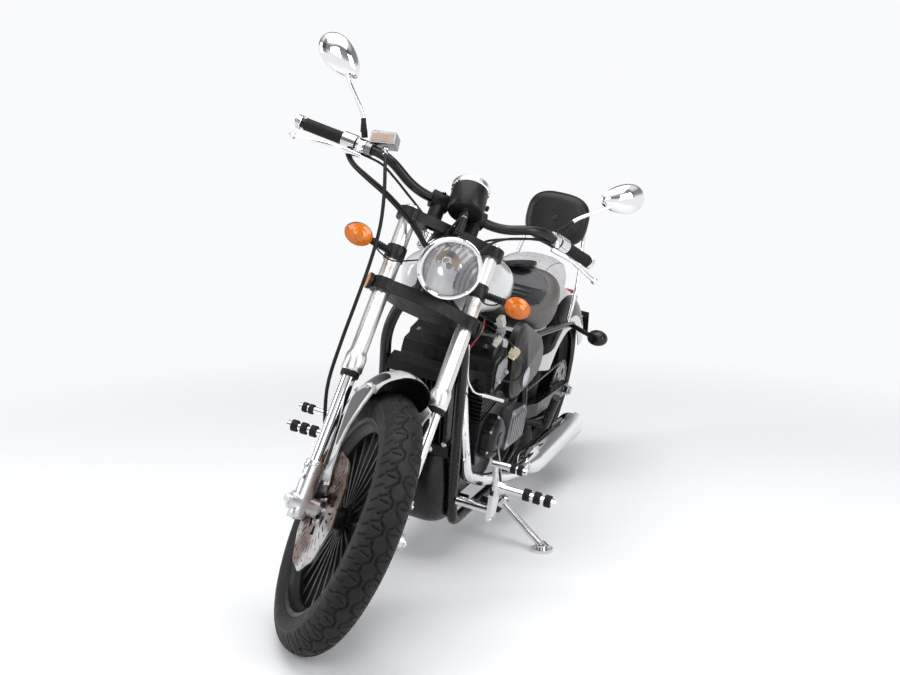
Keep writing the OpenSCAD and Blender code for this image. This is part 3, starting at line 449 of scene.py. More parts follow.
def cable(name, path, place, body, diameter, mat, steps=28):
    """A cable whose two ends sit in the bike."""
    pts = [Vector(p) for p in curve_through(path, 10)]
    run = np.cumsum([0] + [(b - a).length for a, b in zip(pts, pts[1:])])
    even = [[float(np.interp(x, run, [p[k] for p in pts])) for k in range(3)] for x in np.linspace(0, run[-1], steps)]
    even = [place @ Vector(p) for p in even]
    cu = bpy.data.curves.new(name, "CURVE")
    cu.dimensions = "3D"
    cu.bevel_depth = diameter / 2000
    cu.bevel_resolution = 4
    cu.use_fill_caps = True
    sp = cu.splines.new("POLY")
    sp.points.add(len(even) - 1)
    for q, p in zip(sp.points, even):
        q.co = (*p, 1)
    sp.use_smooth = True
    cu.materials.append(MATS[mat])
    o = bpy.data.objects.new(name, cu)
    scene.collection.objects.link(o)
    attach(o, body)
    return o


for k in (0, 1):
    cable("throttle_cable_%d" % (k + 1), [fp(-306 - 9 * k, 886, -62), fp(-306 - 9 * k, 864, -52),
            fp(-288 - 6 * k, 838 - 4 * k, -30), fp(-250, 812 - 8 * k, 2), fp(-196, 782 - 9 * k, 34),
            fp(-122, 742 - 9 * k, 48), fp(-66, 704 - 8 * k, 44), fp(-32, 684 - 6 * k, 34)], STEERED, "steering", 8,
            "cable")
cable("clutch_cable", [fp(288, 884, -44), fp(262, 878, -34), fp(220, 860, -12), fp(176, 836, 12), fp(134, 810, 34),
        fp(100, 782, 48), fp(74, 746, 58), fp(52, 712, 52), fp(34, 690, 36)], STEERED, "steering", 6.5, "cable")
for s, tag in ((1, "left"), (-1, "right")):
    cable("switch_wire_" + tag, [fp(s * 292, 880, -56), fp(s * 262, 874, -36), fp(s * 226, 864, -16),
            fp(s * 184, 844, -12), fp(s * 140, 824, -18), fp(s * 104, 802, -12), fp(s * 86, 782, 4),
            fp(s * 84, 764, 10)], STEERED, "steering", 6.5, "cable", 26)
cable("clock_cable", [fp(-8, 806, 56), fp(-14, 784, 58), fp(-22, 758, 44), fp(-26, 730, 30), fp(-22, 704, 24)],
        STEERED, "steering", 6, "cable")
for s, tag in ((1, "left"), (-1, "right")):
    cable("signal_wire_" + tag, [fp(s * 178, 652, 16), fp(s * 160, 636, 30), fp(s * 130, 626, 44),
            fp(s * 100, 636, 60), fp(s * 66, 652, 76)], STEERED, "steering", 4, "cable", 22)

# Tyres: a round crown with the tread cut into it.
HEX = [(-0.5, 6), (-0.36, 6), (-0.16, 20), (0.16, 20), (0.36, 6), (0.5, 6)]
STROKES = [(*a, *b, 2.3, 5.0) for a, b in zip(HEX, HEX[1:])]
STROKES += [(0.16, 20, 0.28, 42, 1.9, 4.4), (-0.16, 20, -0.05, 34, 1.9, 4.4), (0.5, 15, 0.42, 36, 1.7, 4.0),
        (-0.5, 15, -0.58, 36, 1.7, 4.0), (-0.2, 40, -0.1, 60, 1.7, 3.6), (0.38, 44, 0.5, 61, 1.7, 3.6),
        (-0.62, 44, -0.5, 61, 1.7, 3.6)]
# Degrees round the section to the tread's edge and the side line, and the strokes' own measure at that edge.
TREAD_EDGE, LINE_AT, TREAD_REACH = 74, 82, 64


def tyre(name, hub, radius, crown, bead, cells, n_round, body, scale):
    limit = acos((bead - (radius - crown)) / crown)
    edge = radians(TREAD_EDGE)
    t = np.concatenate([np.linspace(-limit, -edge, 14)[:-1], np.linspace(-edge, edge, 56),
            np.linspace(edge, limit, 14)[1:]])
    a = np.linspace(0, tau, n_round, endpoint=False)
    pitch = tau * radius / cells
    u = ((a / tau * cells) % 1.0 - 0.5)[:, None] * np.ones(len(t))
    v = (np.degrees(t) / TREAD_EDGE * TREAD_REACH)[None, :] * np.ones((n_round, 1))
    cut = np.zeros_like(u)
    for shift_side in (1, -1):
        w = v * shift_side
        for x1, y1, x2, y2, half, deep in STROKES:
            dx, dy = (x2 - x1) * pitch, (y2 - y1) * scale
            px, py = (u - x1) * pitch, w * scale - y1 * scale
            k = np.clip((px * dx + py * dy) / (dx * dx + dy * dy), 0, 1)
            dist = np.hypot(px - k * dx, py - k * dy)
            cut = np.maximum(cut, deep * np.clip((half + 0.9 - dist) / 1.4, 0, 1))
    rise = np.zeros(len(t))
    for mid, wide, high in ((LINE_AT, 2.0, -0.9), (96, 2.0, 0.0), (112, 2.5, -0.8)):
        rise += high * np.exp(-((np.abs(np.degrees(t)) - mid) / wide) ** 2)
    r = crown - 0.2 - cut + rise[None, :]
    rr = radius - crown + r * np.cos(t)[None, :]
    z = r * np.sin(t)[None, :]
    m = len(t)
    verts = np.stack([rr * np.cos(a)[:, None], rr * np.sin(a)[:, None], z], -1).reshape(-1, 3)
    verts = verts @ np.array(hub.to_3x3()).T + np.array(hub.translation)
    i, j = np.meshgrid(np.arange(n_round), np.arange(m - 1), indexing="ij")
    i2 = (i + 1) % n_round
    quads = np.stack([i * m + j, i2 * m + j, i2 * m + j + 1, i * m + j + 1], -1).reshape(-1, 4)
    me = bpy.data.meshes.new(name)
    me.from_pydata(verts.tolist(), [], quads.tolist())
    line = np.abs(np.abs(np.degrees((t[:-1] + t[1:]) / 2)) - LINE_AT) < 2.2
    me.polygons.foreach_set("material_index", np.tile(line.astype(int), n_round).tolist())
    finish_mesh(name, me, body, ["tyre", "tyre_line"], (name.replace("_tread", ""),), 60)


tyre("front_tyre_tread", FRONT_HUB, FRONT_R, 50, 246, 34, 960, "front_wheel_set", 1.0)
tyre("rear_tyre_tread", REAR_HUB, REAR_R, 85, 206, 30, 840, "rear_wheel_set", 1.6)

# Wheels, discs and the final drive.
from_cad("front_wheel", "front_wheel_set", ["wheel_black"], 1.2)
from_cad("rear_wheel", "rear_wheel_set", ["wheel_black"], 1.2)
from_cad("front_disc", "front_wheel_set", ["disc"], 0.5)
trim("rear_wheel_set", ("rear_disc", "disc", 0.5), ("rear_sprocket", "steel_oiled", 0.5))
for hub, body, face, name in ((FRONT_HUB, "front_wheel_set", -68.6, "front_disc_bolts"),
                              (REAR_HUB, "rear_wheel_set", -79.4, "rear_disc_bolts")):
    b = Build(hub)
    for k in range(6):
        t = radians(60 * k + 30)
        b.bolt((31 * cos(t), 31 * sin(t), face), (0, 0, -1), 4, 0, True)
    b.put(name, body, ["chrome_soft"], bevel=0.3)

OUTPUT, AXLE = np.array((985.0, 202.0)), np.array((WHEELBASE, REAR_R - CHASSIS_UP), float)
LINK, PLATE_R = 15.875, 3.1


def chain_point(x, ra=39.5, rb=95.5):
    """A point of the chain's middle line and its heading, x millimetres along."""
    v = AXLE - OUTPUT
    along, gap = atan2(v[1], v[0]), float(np.hypot(*v))
    open_ = acos((ra - rb) / gap)
    straight = sqrt(gap ** 2 - (ra - rb) ** 2)
    legs = [ra * (2 * pi - 2 * open_), straight, rb * 2 * open_, straight]
    total = sum(legs)
    x %= total

    def on(c, r, t):
        return c + r * np.array((cos(t), sin(t)))
    if x < legs[0]:
        t = along + open_ + x / ra
        return on(OUTPUT, ra, t), t + pi / 2, total
    x -= legs[0]
    low_a, low_b = on(OUTPUT, ra, along - open_), on(AXLE, rb, along - open_)
    if x < legs[1]:
        d = (low_b - low_a) / straight
        return low_a + d * x, atan2(d[1], d[0]), total
    x -= legs[1]
    if x < legs[2]:
        t = along - open_ + x / rb
        return on(AXLE, rb, t), t + pi / 2, total
    x -= legs[2]
    top_b, top_a = on(AXLE, rb, along + open_), on(OUTPUT, ra, along + open_)
    d = (top_a - top_b) / straight
    return top_b + d * x, atan2(d[1], d[0]), total


b = Build(CHASSIS)
total = chain_point(0)[2]
links = 2 * round(total / (2 * LINK))
for k in range(links):
    (y, z), _, _ = chain_point(total * k / links)
    (y2, z2), _, _ = chain_point(total * (k + 1) / links)
    heading = atan2(z2 - z, y2 - y)
    b.spin_between((91.6, y, z), (100.4, y, z), [(2.6, 0), (2.6, 8.8)], 10)
    outline = []
    for pin_y, pin_z, start in ((y, z, pi / 2), (y2, z2, -pi / 2)):
        for q in range(6):
            t = heading + start + pi * q / 5
            outline.append((pin_y + PLATE_R * cos(t), pin_z + PLATE_R * sin(t)))
    for x in ((91.6, 99.2) if k % 2 else (93.0, 97.8)):
        b.prism(outline, x, 1.2)
b.put("drive_chain_links", "chassis", ["steel_oiled"], ("drive_chain",))

# Fork, clamps and front brake.
trim("steering", ("fork_tubes", "fork_polish", 0.8), ("fork_lowers", "chrome"), ("fork_bottoms", "cast", 1.6),
        ("upper_clamp", "black_satin", 2.0), ("lower_clamp", "black_satin", 2.0),
        ("fender_stays", "white_paint", 0.8))
STAY_PANEL = [(-92, 305), (-48, 277), (10, 227), (33, 180), (44, 164), (56, 176), (68, 250), (62, 304), (0, 312),
        (-60, 311)]
b = Build(STEERED)
b.prism(soft([(y - OFFSET, z) for y, z in STAY_PANEL]), 76.8, 0.7)
b.mirrored().put("fender_stay_panels", "steering", ["black_paint"])
trim("steering", ("front_caliper", "black_metal", 1.6), ("hand_controls", "chrome_soft", 1.2))
LID = (STEERED @ FLIP @ Matrix.Translation(bp(241, 145, -20)) @ turn(34, "Z") @ turn(8, "Y")).inverted()
from_cad("master_cylinder", "steering", ["engine_grey", "lid"], 2.0,
        paint=lambda p: 1 if (LID @ p.center).z > 19 and abs((LID @ p.center).x) < 31 else 0)
b = Build(LID.inverted())
b.block((0, -21.2, -1), (56, 1.6, 23), None, 0)
b.block((0, 0, 20.2), (50, 26, 1), None, 0)
for x in (-25, 25):
    for y in (-13, 13):
        b.bolt((x, y, 20), (0, 0, 1), 2, 1, True)
b.put("master_cylinder_plates", "steering", ["lid", "chrome_soft"], bevel=0.4)
b = Build(STEERED)
for s in (-1, 1):
    b.spin_between(fp(s * LEG, 325, 0), fp(s * LEG, 345, 0), [(17.8, 0), (22, 0), (23.5, 3), (23.5, 13), (18, 13.5)],
            48, 1)
    b.spin_between(bp(s * LEG, 0, 0), bp(s * LEG, 19, 0), [(19, 5), (19, 9), (16, 11), (11, 11), (10, 7), (0, 7)],
            40, 0)
    b.bolt(fp(s * (LEG + 24), 60, 12), (s, -0.5, 0), 4, 2)
    b.bolt(fp(s * (LEG + 24), 88, 8), (s, -0.4, 0), 4, 2)
    b.bolt(fp(s * LEG, -33, -30), (0, 0, -1), 5, 2, True)
    b.bolt(fp(s * 152, 0, 0), (s, 0, 0), 9, 2)
    b.bolt(fp(s * LEG, 94, 24), (0, -1, 0), 3.5, 2)
    b.bolt(fp(s * LEG, 570, -31.6), (0, 1, 0), 5, 0, True)
    b.bolt(fp(s * LEG, TOP_CLAMP - 14, -31.6), (0, 1, 0), 5, 0, True)
    b.bolt(fp(s * 77.2, 314, 52), (s, 0, 0), 5, 2)
    b.bolt(fp(s * 77.2, 314, -50), (s, 0, 0), 5, 2)
    for d in (-14, 14):
        b.bolt(bp(s * 52, 82.5, -19 + d), (0, 0, 1), 4, 0, True)
b.bolt(Vector((0, 0, TOP_CLAMP)), (0, 0, 1), 15, 0)
b.put("fork_fittings", "steering", ["chrome", "rubber", "chrome_soft"], bevel=0.3)
b = Build(STEERED)
for h, d in ((88, -42), (88, -72), (52, -68)):
    b.bolt(fp(-93.5, h, d), (-1, 0, 0), 5, 0, True)
b.spin_between(fp(-60, 700, 6), fp(-60, 742, 8), [(14, 0), (16, 2), (16, 14), (13, 16), (13, 30), (15, 32), (15, 40),
        (9, 42), (0, 42)], 24, 0)
b.spin_between(fp(-60, 742, 8), fp(-60, 760, 9), [(17, 0), (17, 6), (12, 9), (0, 9)], 6, 0)
b.put("lock_and_caliper_bolts", "steering", ["chrome_soft"], bevel=0.3)
b = Build(STEERED)
for p, q in ((fp(-236, 902, -6), fp(-232, 860, 30)), (fp(-83, 87.5, -102.6), fp(-83, 133, -64))):
    b.spin_between(p, q, [(5.2, 0), (8.5, 1), (8.5, 8), (6.5, 10), (6.5, 26), (5, 28)], 20, 0)
ends = b.put("brake_hose_fittings", "steering", ["chrome_soft"])
hose = cable("brake_hose_run", [fp(-236, 902, -6), fp(-234, 881, 12), fp(-227, 840, 33), fp(-206, 770, 41),
        fp(-188, 690, 44.5), fp(-179, 600, 41), fp(-173, 500, 24), fp(-166, 400, -3), fp(-155, 300, -27),
        fp(-131, 224, -39), fp(-106, 172, -47), fp(-90, 139, -62), fp(-83.5, 113, -81), fp(-83, 87.5, -102.6)],
        STEERED, "steering", 9.2, "cable", 36)
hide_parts("brake_hose")

# Bars, grips, levers and mirrors.
BAR_BEND, BAR_TIP, BAR_IN = bp(223, 106, -5), bp(432, 141, -145), bp(124, 62, -19)
on_bar = lambda t: mix(BAR_BEND, BAR_TIP, t)
b = Build(STEERED)
b.tube(rounded([side_flip(BAR_TIP), side_flip(BAR_BEND), side_flip(BAR_IN), BAR_IN, BAR_BEND, BAR_TIP], 42, 12),
        BAR_R, 28)
b.put("handlebar_tube", "steering", ["black_metal"], ("handlebar",))
b = Build(STEERED)
ribs = [(13.2, 0), (16.4, 0), (16.9, 1.2), (16.9, 4), (16, 5.5)]
for k in range(24):
    x = 7 + k * 4.2
    ribs += [(15.9, x), (16.4, x + 0.7), (16.4, x + 3.2), (15.9, x + 3.9)]
ribs += [(16, 109), (16.7, 110.5), (16.7, 113), (13.2, 114)]
b.spin_between(on_bar(0.52), on_bar(0.97), ribs, 40, 0)
ends = [(0.1, 0), (16.5, 0), (17.8, 1.2)]
for k in range(4):
    ends += [(17.8, 2 + 3.6 * k), (17.8, 4 + 3.6 * k), (16.2, 4.5 + 3.6 * k), (16.2, 5.2 + 3.6 * k)]
ends += [(16, 16.8), (12, 17.6), (6, 17.7), (0, 16)]
b.spin_between(on_bar(1.001), on_bar(1.07), ends, 40, 1)
b.mirrored().put("ribbed_grips", "steering", ["rubber", "chrome"], ("grips",))
b = Build(STEERED)
path = rounded([bp(284, 85, -37), bp(345, 83, -38), bp(400, 85, -78), bp(450, 79, -96)], 22, 8)
b.tube(path, [6.8 - 1.6 * k / (len(path) - 1) for k in range(len(path))], 18)
tip = bp(450, 79, -96) + Vector((2, 1, 0))
b.spin_between(tip - Vector((9, 4, 0)), tip + Vector((9, 4, 0)),
        [(9.6 * sin(pi * k / 12), 9.8 - 9.6 * cos(pi * k / 12)) for k in range(13)], 28)
b.bolt(bp(294, 96, -37), (0, 0, 1), 6, 0)
b.mirrored().put("ball_levers", "steering", ["chrome"], ("levers",))
b = Build(STEERED)
at = Matrix.Translation(bp(425, 299, -23)) @ turn(-28, "Y") @ turn(20, "X")
back = curve_through([[-27, 16, 9], [-25, 31, 18], [-18, 50, 30], [-9, 62, 37.5], [0, 67, 40]], 5)
b.rings([egg(y, a, c, 56) for y, a, c in back], 0, (True, False), at)
b.rings([egg(y, a, c, 56) for y, a, c in ((0, 67, 40), (2.5, 66.6, 39.6), (3.2, 65, 38), (2.2, 63.6, 36.6),
        (0.6, 63.4, 36.4))], 0, (False, False), at)
b.rings([egg(y, a, c, 56) for y, a, c in ((1.2, 63.3, 36.3), (1.8, 36, 21), (2.0, 0.7, 0.5))], 1, (False, True), at)
b.rod(bp(288, 139.4, -45), bp(295, 151, -40), 8, 24, 2)
stalk = rounded([bp(294, 145, -40), bp(316, 187, -27), bp(390, 255, -21), bp(412, 279, -15)], 24, 8)
b.tube(stalk, 5, 18, 0)
b.spin_between(bp(296, 149, -39), bp(313, 181, -28.5), [(6, 0), (9, 1), (9, 6), (7.4, 8), (8.6, 10), (7.2, 13),
        (8.2, 15), (7, 18), (7.6, 20), (6.4, 24), (6.4, 34), (5.2, 36)], 24, 2)
b.spin_between(bp(402, 268, -17.5), bp(413, 280, -15), [(5, 0), (8, 2), (8, 12), (5, 14)], 24, 0)
b.mirrored().put("mirror_pair", "steering", ["chrome", "mirror", "rubber"], ("mirrors", "mirror_glasses"), smooth=50)

# Speedometer and headlight.
low, top = bp(0, 35, 55), bp(0, 119, 27)
b = Build(STEERED)
b.spin_between(low, top, [(0, 0), (40, 0), (44, 1.5), (47, 6), (47, 70), (46, 71)], 64, 0)
b.spin_between(low, top, [(47, 70), (50, 72), (50, 82), (48.5, 85.5), (45, 87), (42.5, 86), (42, 79)], 64, 1,
        caps=(False, False))
b.spin_between(low, top, [(42.2, 77.5), (42.2, 79), (0, 79)], 64, 2)
b.rod(bp(0, -14, 30.3), bp(0, -14, 58), 11, 24, 0)
b.rod(bp(0, -19, 50), mix(low, top, 0.06), 12, 24, 0)
axis = (top - low).normalized()
b.spin_between(low - axis * 16, low, [(5, 0), (8, 1), (8, 8), (6, 10), (9, 12), (9, 17)], 18, 1)
b.spin_between(mix(low, top, 0.5) + Vector((46, 0, 0)), mix(low, top, 0.5) + Vector((60, 0, 0)),
        [(5, 0), (5, 5), (7.5, 6), (7.5, 11), (6, 12.5), (0, 12.5)], 16, 0)
b.put("speedometer_can", "steering", ["black_plastic", "chrome", "dial"], ("speedometer",), bevel=0.4)
face = aimed(low, axis)
SWEEP = 270
lean_up = face.to_3x3().inverted() @ Vector((0, -1, 0.2))
spin0 = atan2(lean_up.y, lean_up.x)
b = Build(STEERED @ face)
for k in range(33):
    t = spin0 + radians(SWEEP / 2 - SWEEP * k / 32)
    inner = 33 if k % 4 == 0 else 36
    w = 0.9 if k % 4 == 0 else 0.4
    at = turn(degrees(t), "Z")
    b.block(((inner + 39) / 2, 0, 79.4), (39 - inner, w, 0.5), at, 0)
t = spin0 + radians(SWEEP / 2)
at = turn(degrees(t), "Z")
b.add([(-8, -1.4, 80.4), (-8, 1.4, 80.4), (33, 0.4, 80.4), (33, -0.4, 80.4), (-8, -1.4, 81), (-8, 1.4, 81),
        (33, 0.4, 81), (33, -0.4, 81)], [[0, 1, 2, 3], [7, 6, 5, 4], [0, 4, 5, 1], [1, 5, 6, 2], [2, 6, 7, 3],
        [3, 7, 4, 0]], 1, at)
b.spin([(4, 79.4), (4, 82), (3, 82.6), (0, 82.6)], None, 20, 2)
b.put("dial_marks", "steering", ["print", "needle", "black_plastic"])
for k in range(9):
    t = spin0 + radians(SWEEP / 2 - SWEEP * k / 8)
    cu = bpy.data.curves.new("dial_number_%d" % k, "FONT")
    cu.body = str(20 * k)
    cu.size = 6.5
    cu.align_x, cu.align_y = "CENTER", "CENTER"
    cu.extrude = 0.1
    tmp = bpy.data.objects.new("tmp", cu)
    scene.collection.objects.link(tmp)
    bpy.context.view_layer.update()
    me = bpy.data.meshes.new_from_object(tmp.evaluated_get(bpy.context.evaluated_depsgraph_get()))
    bpy.data.objects.remove(tmp)
    at = move(27 * cos(t), 27 * sin(t), 79.5) @ turn(degrees(spin0) - 90, "Z")
    me.transform(STEERED @ face @ at)
    finish_mesh("dial_number_%d" % k, me, "steering", ["print"], smooth=30, normals=False)
b = Build(STEERED @ face)
b.spin([(42.1, 82.6), (42.1, 84.2), (24, 85.2), (0, 85.6)], None, 64, 0)
b.put("dial_glass", "steering", ["clear"])

LAMP = STEERED @ Matrix.Translation(fp(0, 647, 108)) @ turn(90 + RAKE, "X")
b = Build(LAMP)
b.spin([(0, -112), (30, -108), (44, -102), (56, -92), (64, -80), (70, -62), (74, -40), (75, -24), (80, -18), (80, -4),
        (77, -1), (72, 0), (69.5, -2), (68.8, -10)], None, 96, 0, caps=(True, False))
b.spin([(80, -16.5), (81.0, -16), (81.4, -13), (81.0, -10), (80, -9.5)], None, 96, 0, caps=(False, False))
bowl = curve_through([(68.8, -10), (66, -18), (60, -30), (50, -44), (38, -56), (26, -64), (16, -69), (12, -70)], 4)
# Reflector tones: GLARE is the mirror finish, and the others are painted reflections. They give a light patch low in
# the middle, a warm patch with a dark centre above it, dark and mid stripes towards the sides, and mid, light and
# mirror stripes across the middle.
GLARE, PAINTED_MID_REFLECTION, PAINTED_DARK_REFLECTION_AND_CAP, PAINTED_LIGHT_REFLECTION, PAINTED_WARM_REFLECTION = 1, 5, 6, 7, 8
n, first = 128, len(b.m)
b.rings([[(r * x, r * y, z) for x, y in circle(n)] for r, z in bowl], GLARE, (False, True))
for j, (r, z) in enumerate(bowl[:-1]):
    for i in range(n):
        x, y = r * cos(tau * (i + 0.5) / n), r * sin(tau * (i + 0.5) / n)
        if y < -12 and abs(x) < 36:
            tone = PAINTED_LIGHT_REFLECTION
        elif abs(x) > 42:
            tone = (PAINTED_MID_REFLECTION, PAINTED_DARK_REFLECTION_AND_CAP)[int((x + 100) / 4.2) % 2]
        elif hypot(x, y) < 34 and y > -6:
            tone = PAINTED_WARM_REFLECTION if abs(x) > 9 else PAINTED_DARK_REFLECTION_AND_CAP
        else:
            tone = (PAINTED_MID_REFLECTION, PAINTED_LIGHT_REFLECTION, PAINTED_MID_REFLECTION, GLARE)[int((x + 100) / 7) % 4]
        b.m[first + j * n + i] = tone
b.spin([(11, -71), (11, -60), (9, -58), (9, -50), (0, -49)], None, 24, 2)
b.spin([(6, -50), (6.2, -34), (5.4, -28), (3, -25), (0, -24.4)], None, 24, 3)
# The bulb's shading cap, in the dark finish that also serves as painted reflection.
b.spin([(6.8, -37), (7.2, -28), (6, -23), (3, -21.4), (0, -21)], None, 24, PAINTED_DARK_REFLECTION_AND_CAP)
b.rod(Vector((0, 62, -20)), Vector((0, 69, -14)), 5, 16, 2)
b.place = STEERED
b.rod(fp(0, 587.3, 30), fp(0, 621.3, 30), 14, 28, 4)
b.bolt(fp(0, 600, 44), (0, -1, 0), 5, 2)
b.put("headlight_bowl", "steering", ["chrome", "mirror", "chrome_soft", "bulb", "black_metal", "painted_reflection_mid",
        "painted_reflection_dark_and_cap", "painted_reflection_light", "painted_reflection_warm"], ("headlight_shell",), smooth=28)
b = Build(LAMP)
b.spin([(68.4, -11), (68.4, -3.4), (64, -1.4), (60, 1), (50, 3), (40, 4.2), (20, 5.6), (0, 6), (0, 3.2), (20, 2.8),
        (40, 1.4), (50, 0), (60, -2.2), (65, -6), (65.6, -11)], None, 96, 0, True)
b.put("headlight_glass", "steering", ["clear"], ("headlight_lens",))

# Turn signals and reflectors.
SIGNAL = [[-26, 12, 8], [-20, 26, 20], [-10, 33, 25], [0, 35, 27], [16, 32, 24], [23, 24, 17], [26, 14, 10]]


def lens_rings(table, ribs):
    out = []
    for k, q in enumerate(curve_through(table, 8)):
        w = 1 + (0.03 * (1 if k % 2 else -1) if ribs(q[0]) else 0) - 0.015
        out.append([(q[1] * w * x, q[0], q[2] * w * z) for x, z in circle(48)])
    return out


b = Build(STEERED)
at = Matrix.Translation(fp(226, 659, 20)) @ turn(RAKE, "X")
b.rings(lens_rings(SIGNAL, lambda y: y < 4), 0, at=at)
b.spin_between(at @ Vector((0, 10, 0)), at @ Vector((0, -16, 0)), [(9, 0), (9, 8), (7, 10), (8, 15), (6, 21), (2, 24),
        (0, 24.4)], 20, 1)
b.mirrored().put("signal_glow", "steering", ["amber", "amber_bulb"], ("signal_lenses",), smooth=60)
b = Build(STEERED)
b.rings([[(a * x, y, c * z) for x, z in circle(48)] for y, a, c in ((3, 35.4, 27.4), (3, 36.2, 28.2), (8, 36, 28),
        (9, 34.6, 26.8))], 0, (False, False), at)
b.bolt(at @ Vector((0, 26, 0)), at.to_3x3() @ Vector((0, 1, 0)), 4, 1)
a0, a1 = fp(138, 659, 6), fp(190.4, 659, 19)
length = (a1 - a0).length
stalk = [(10.5, 0)]
for k in range(6):
    stalk += [(10.2, 4 + 7 * k), (8.2, 6 + 7 * k), (8.2, 8 + 7 * k), (10.0, 10 + 7 * k)]
stalk += [(9, length - 1), (8, length)]
b.spin_between(a0, a1, stalk, 28, 0)
b.spin_between(fp(LEG, 640, 0), fp(LEG, 678, 0), [(21.7, 0), (25, 0), (25.6, 2), (25.6, 36), (25, 38), (21.7, 38)],
        48, 0)
b.bolt(fp(LEG, 659, -25), (0, 1, 0), 4, 1)
b.mirrored().put("signal_arms", "steering", ["black_plastic", "chrome_soft"], ("signal_stalks",))
b = Build(STEERED)
for s in (-1, 1):
    b.spin_between(fp(s * 149, 570, -4), fp(s * 162, 570, -4), [(0, 0), (20, 0), (21, 2), (21, 9), (19, 10)], 32, 0)
    b.spin_between(fp(s * 149, 570, -4), fp(s * 162, 570, -4), [(19, 9.4), (17, 11.5), (10, 12.4), (0, 12.8)], 32, 1)
b.put("side_reflectors", "steering", ["black_plastic", "amber"])


# Fenders: white with a dark lining, side panels and a fine middle line.
ACROSS, ALONG = 16, 120


def fender(node, hub, mid, half, body, panels, line, span):
    inv = hub.inverted()
    flat = inv.to_3x3()

    def lining(poly):
        p = inv @ poly.center
        n = flat @ poly.normal
        r = hypot(p.x, p.y)
        out = Vector((p.x / r * (r - mid), p.y / r * (r - mid), p.z))
        return 1 if n.dot(out) < 0.2 * n.length * out.length else 0

    from_cad(node, body, ["white_paint", "black_satin"], 0.6, 40, paint=lining)

    def patch(b, rows, lift, mat):
        rings = []
        for a, lo, hi in rows:
            ring = []
            for k in range(ACROSS + 1):
                t = radians(mix(lo, hi, k / ACROSS))
                r = mid + (half + lift) * cos(t)
                ring.append((r * cos(radians(a)), r * sin(radians(a)), (half + lift) * sin(t)))
            rings.append(ring)
        m = ACROSS + 1
        b.add([p for r in rings for p in r], [[j * m + i, j * m + i + 1, (j + 1) * m + i + 1, (j + 1) * m + i]
                for j in range(len(rings) - 1) for i in range(m - 1)], mat)

    b = Build(hub)
    for s in (-1, 1):
        rows = []
        a0, a1 = panels["span"]
        for k in range(ALONG + 1):
            a = mix(a0, a1, k / ALONG)
            near = min(a - a0, a1 - a)
            lo = panels["low"] - panels["lift"] * max(0.0, 1 - near / panels["run"]) ** 1.5
            hi = panels["high"]
            mid_t, half_t = (lo + hi) / 2, (lo - hi) / 2
            cap = panels["cap"]
            if near < cap:
                half_t *= sqrt(max(0.0, 1 - (1 - near / cap) ** 2))
            rows.append((a, s * (mid_t + half_t), s * (mid_t - half_t)))
        patch(b, rows, 0.35, 0)
    patch(b, [(mix(span[0], span[1], k / ALONG), -line, line) for k in range(ALONG + 1)], 0.3, 1)
    b.put(node + "_panels", body, ["black_paint", "stripe_grey"])


fender("front_fender", FRONT_HUB, 322, 63, "steering", dict(span=(121, 200), low=88, high=50, lift=24, run=12, cap=6),
        2.0, (113, 204.5))
fender("rear_fender", REAR_HUB, 240, 108, "chassis", dict(span=(124, 240), low=80, high=40, lift=30, run=16, cap=9),
        1.6, (117, 247))

# Frame and running gear.
b = Build(CHASSIS)
spine = rounded([head_at(627), (0, 560, 650), (0, 780, 540), (0, 1062, 450)], 60, 8)
b.tube(spine, 20, 28)
for s in (-1, 1):
    cradle = [head_at(643) + Vector((16, 20, -12))] + [Vector(p) for p in ((88, 424, 620), (110, 424, 540),
            (110, 552, 114), (112, 600, 2), (112, 1000, 0), (124, 1094, 90), (122, 1088, 250), (108, 1080, 334),
            (96, 1060, 454))]
    rail_mid, rail_end = Vector((98, 1064, 450)), tail_at(118.3, -180, 262)
    rail = [Vector((8, 796, 534)), Vector((88, 886, 490)), rail_mid, mix(rail_mid, rail_end, 0.63), rail_end,
            tail_at(118.3, -40, 240)]
    if s < 0:
        cradle, rail = [side_flip(p) for p in cradle], [side_flip(p) for p in rail]
    b.tube(rounded(cradle, 40, 8), 15, 24)
    b.tube(rounded(rail, 36, 8), 10, 20)
for y, z, half, r in ((730, 28, 108, 14), (940, 28, 108, 14), (1062, 450, 98, 12), (1082, 180, 118, 20)):
    b.rod(Vector((-half, y, z)), Vector((half, y, z)), r)
b.rod(Vector((112, 830, 0)), Vector((166, 830, 0)), 13)
b.place = HEAD
b.spin([(20.5, 597.4), (28, 597.4), (31, 600), (31, 612), (30, 614), (30, 729), (31, 731), (31, 742), (28, 744.6),
        (20.5, 744.6)], None, 48)
b.place = MM
pivot, axis = Vector((79.463, -8.463, 121.472)), Vector((0.610341, -0.031128, 0.791527))
b.spin_between(pivot - axis * 34, pivot - axis * 12.3, [(0, 0), (14, 0), (15, 1), (15, 20.7), (14, 21.7), (0, 21.7)],
        32)
b.put("frame_tubes", "chassis", ["black_metal"], ("frame",))
b = Build(CHASSIS)
for s in (-1, 1):
    b.bolt((s * 119, 1082, 180), (s, 0, 0), 12, 0)
    b.bolt((s * 124, 730, 28), (s, 0, 0), 6, 0)
    b.bolt((s * 124, 940, 28), (s, 0, 0), 6, 0)
    b.bolt(tail_at(s * 139.5, 0, 0), (s, 0, 0), 13, 0)
    b.block(tail_at(s * 116, -24, 0), (26.6, 8, 30), None, 0)
    b.bolt((s * 234, 546, 165), (s, 0, 0), 6, 0)
b.put("frame_bolts", "chassis", ["chrome_soft"], bevel=0.4)
from_cad("swingarm", "chassis", ["black_metal"], 2.5)
from_cad("side_stand", "stand", ["chrome_soft"], 1.2)
b = Build(MM)
foot = Vector((215.33, -51.84, 15))
b.tube([foot + Vector((6, -8, 16)), foot + Vector((18, -26, 18)), foot + Vector((34, -44, 14))], [4, 4, 3], 14)
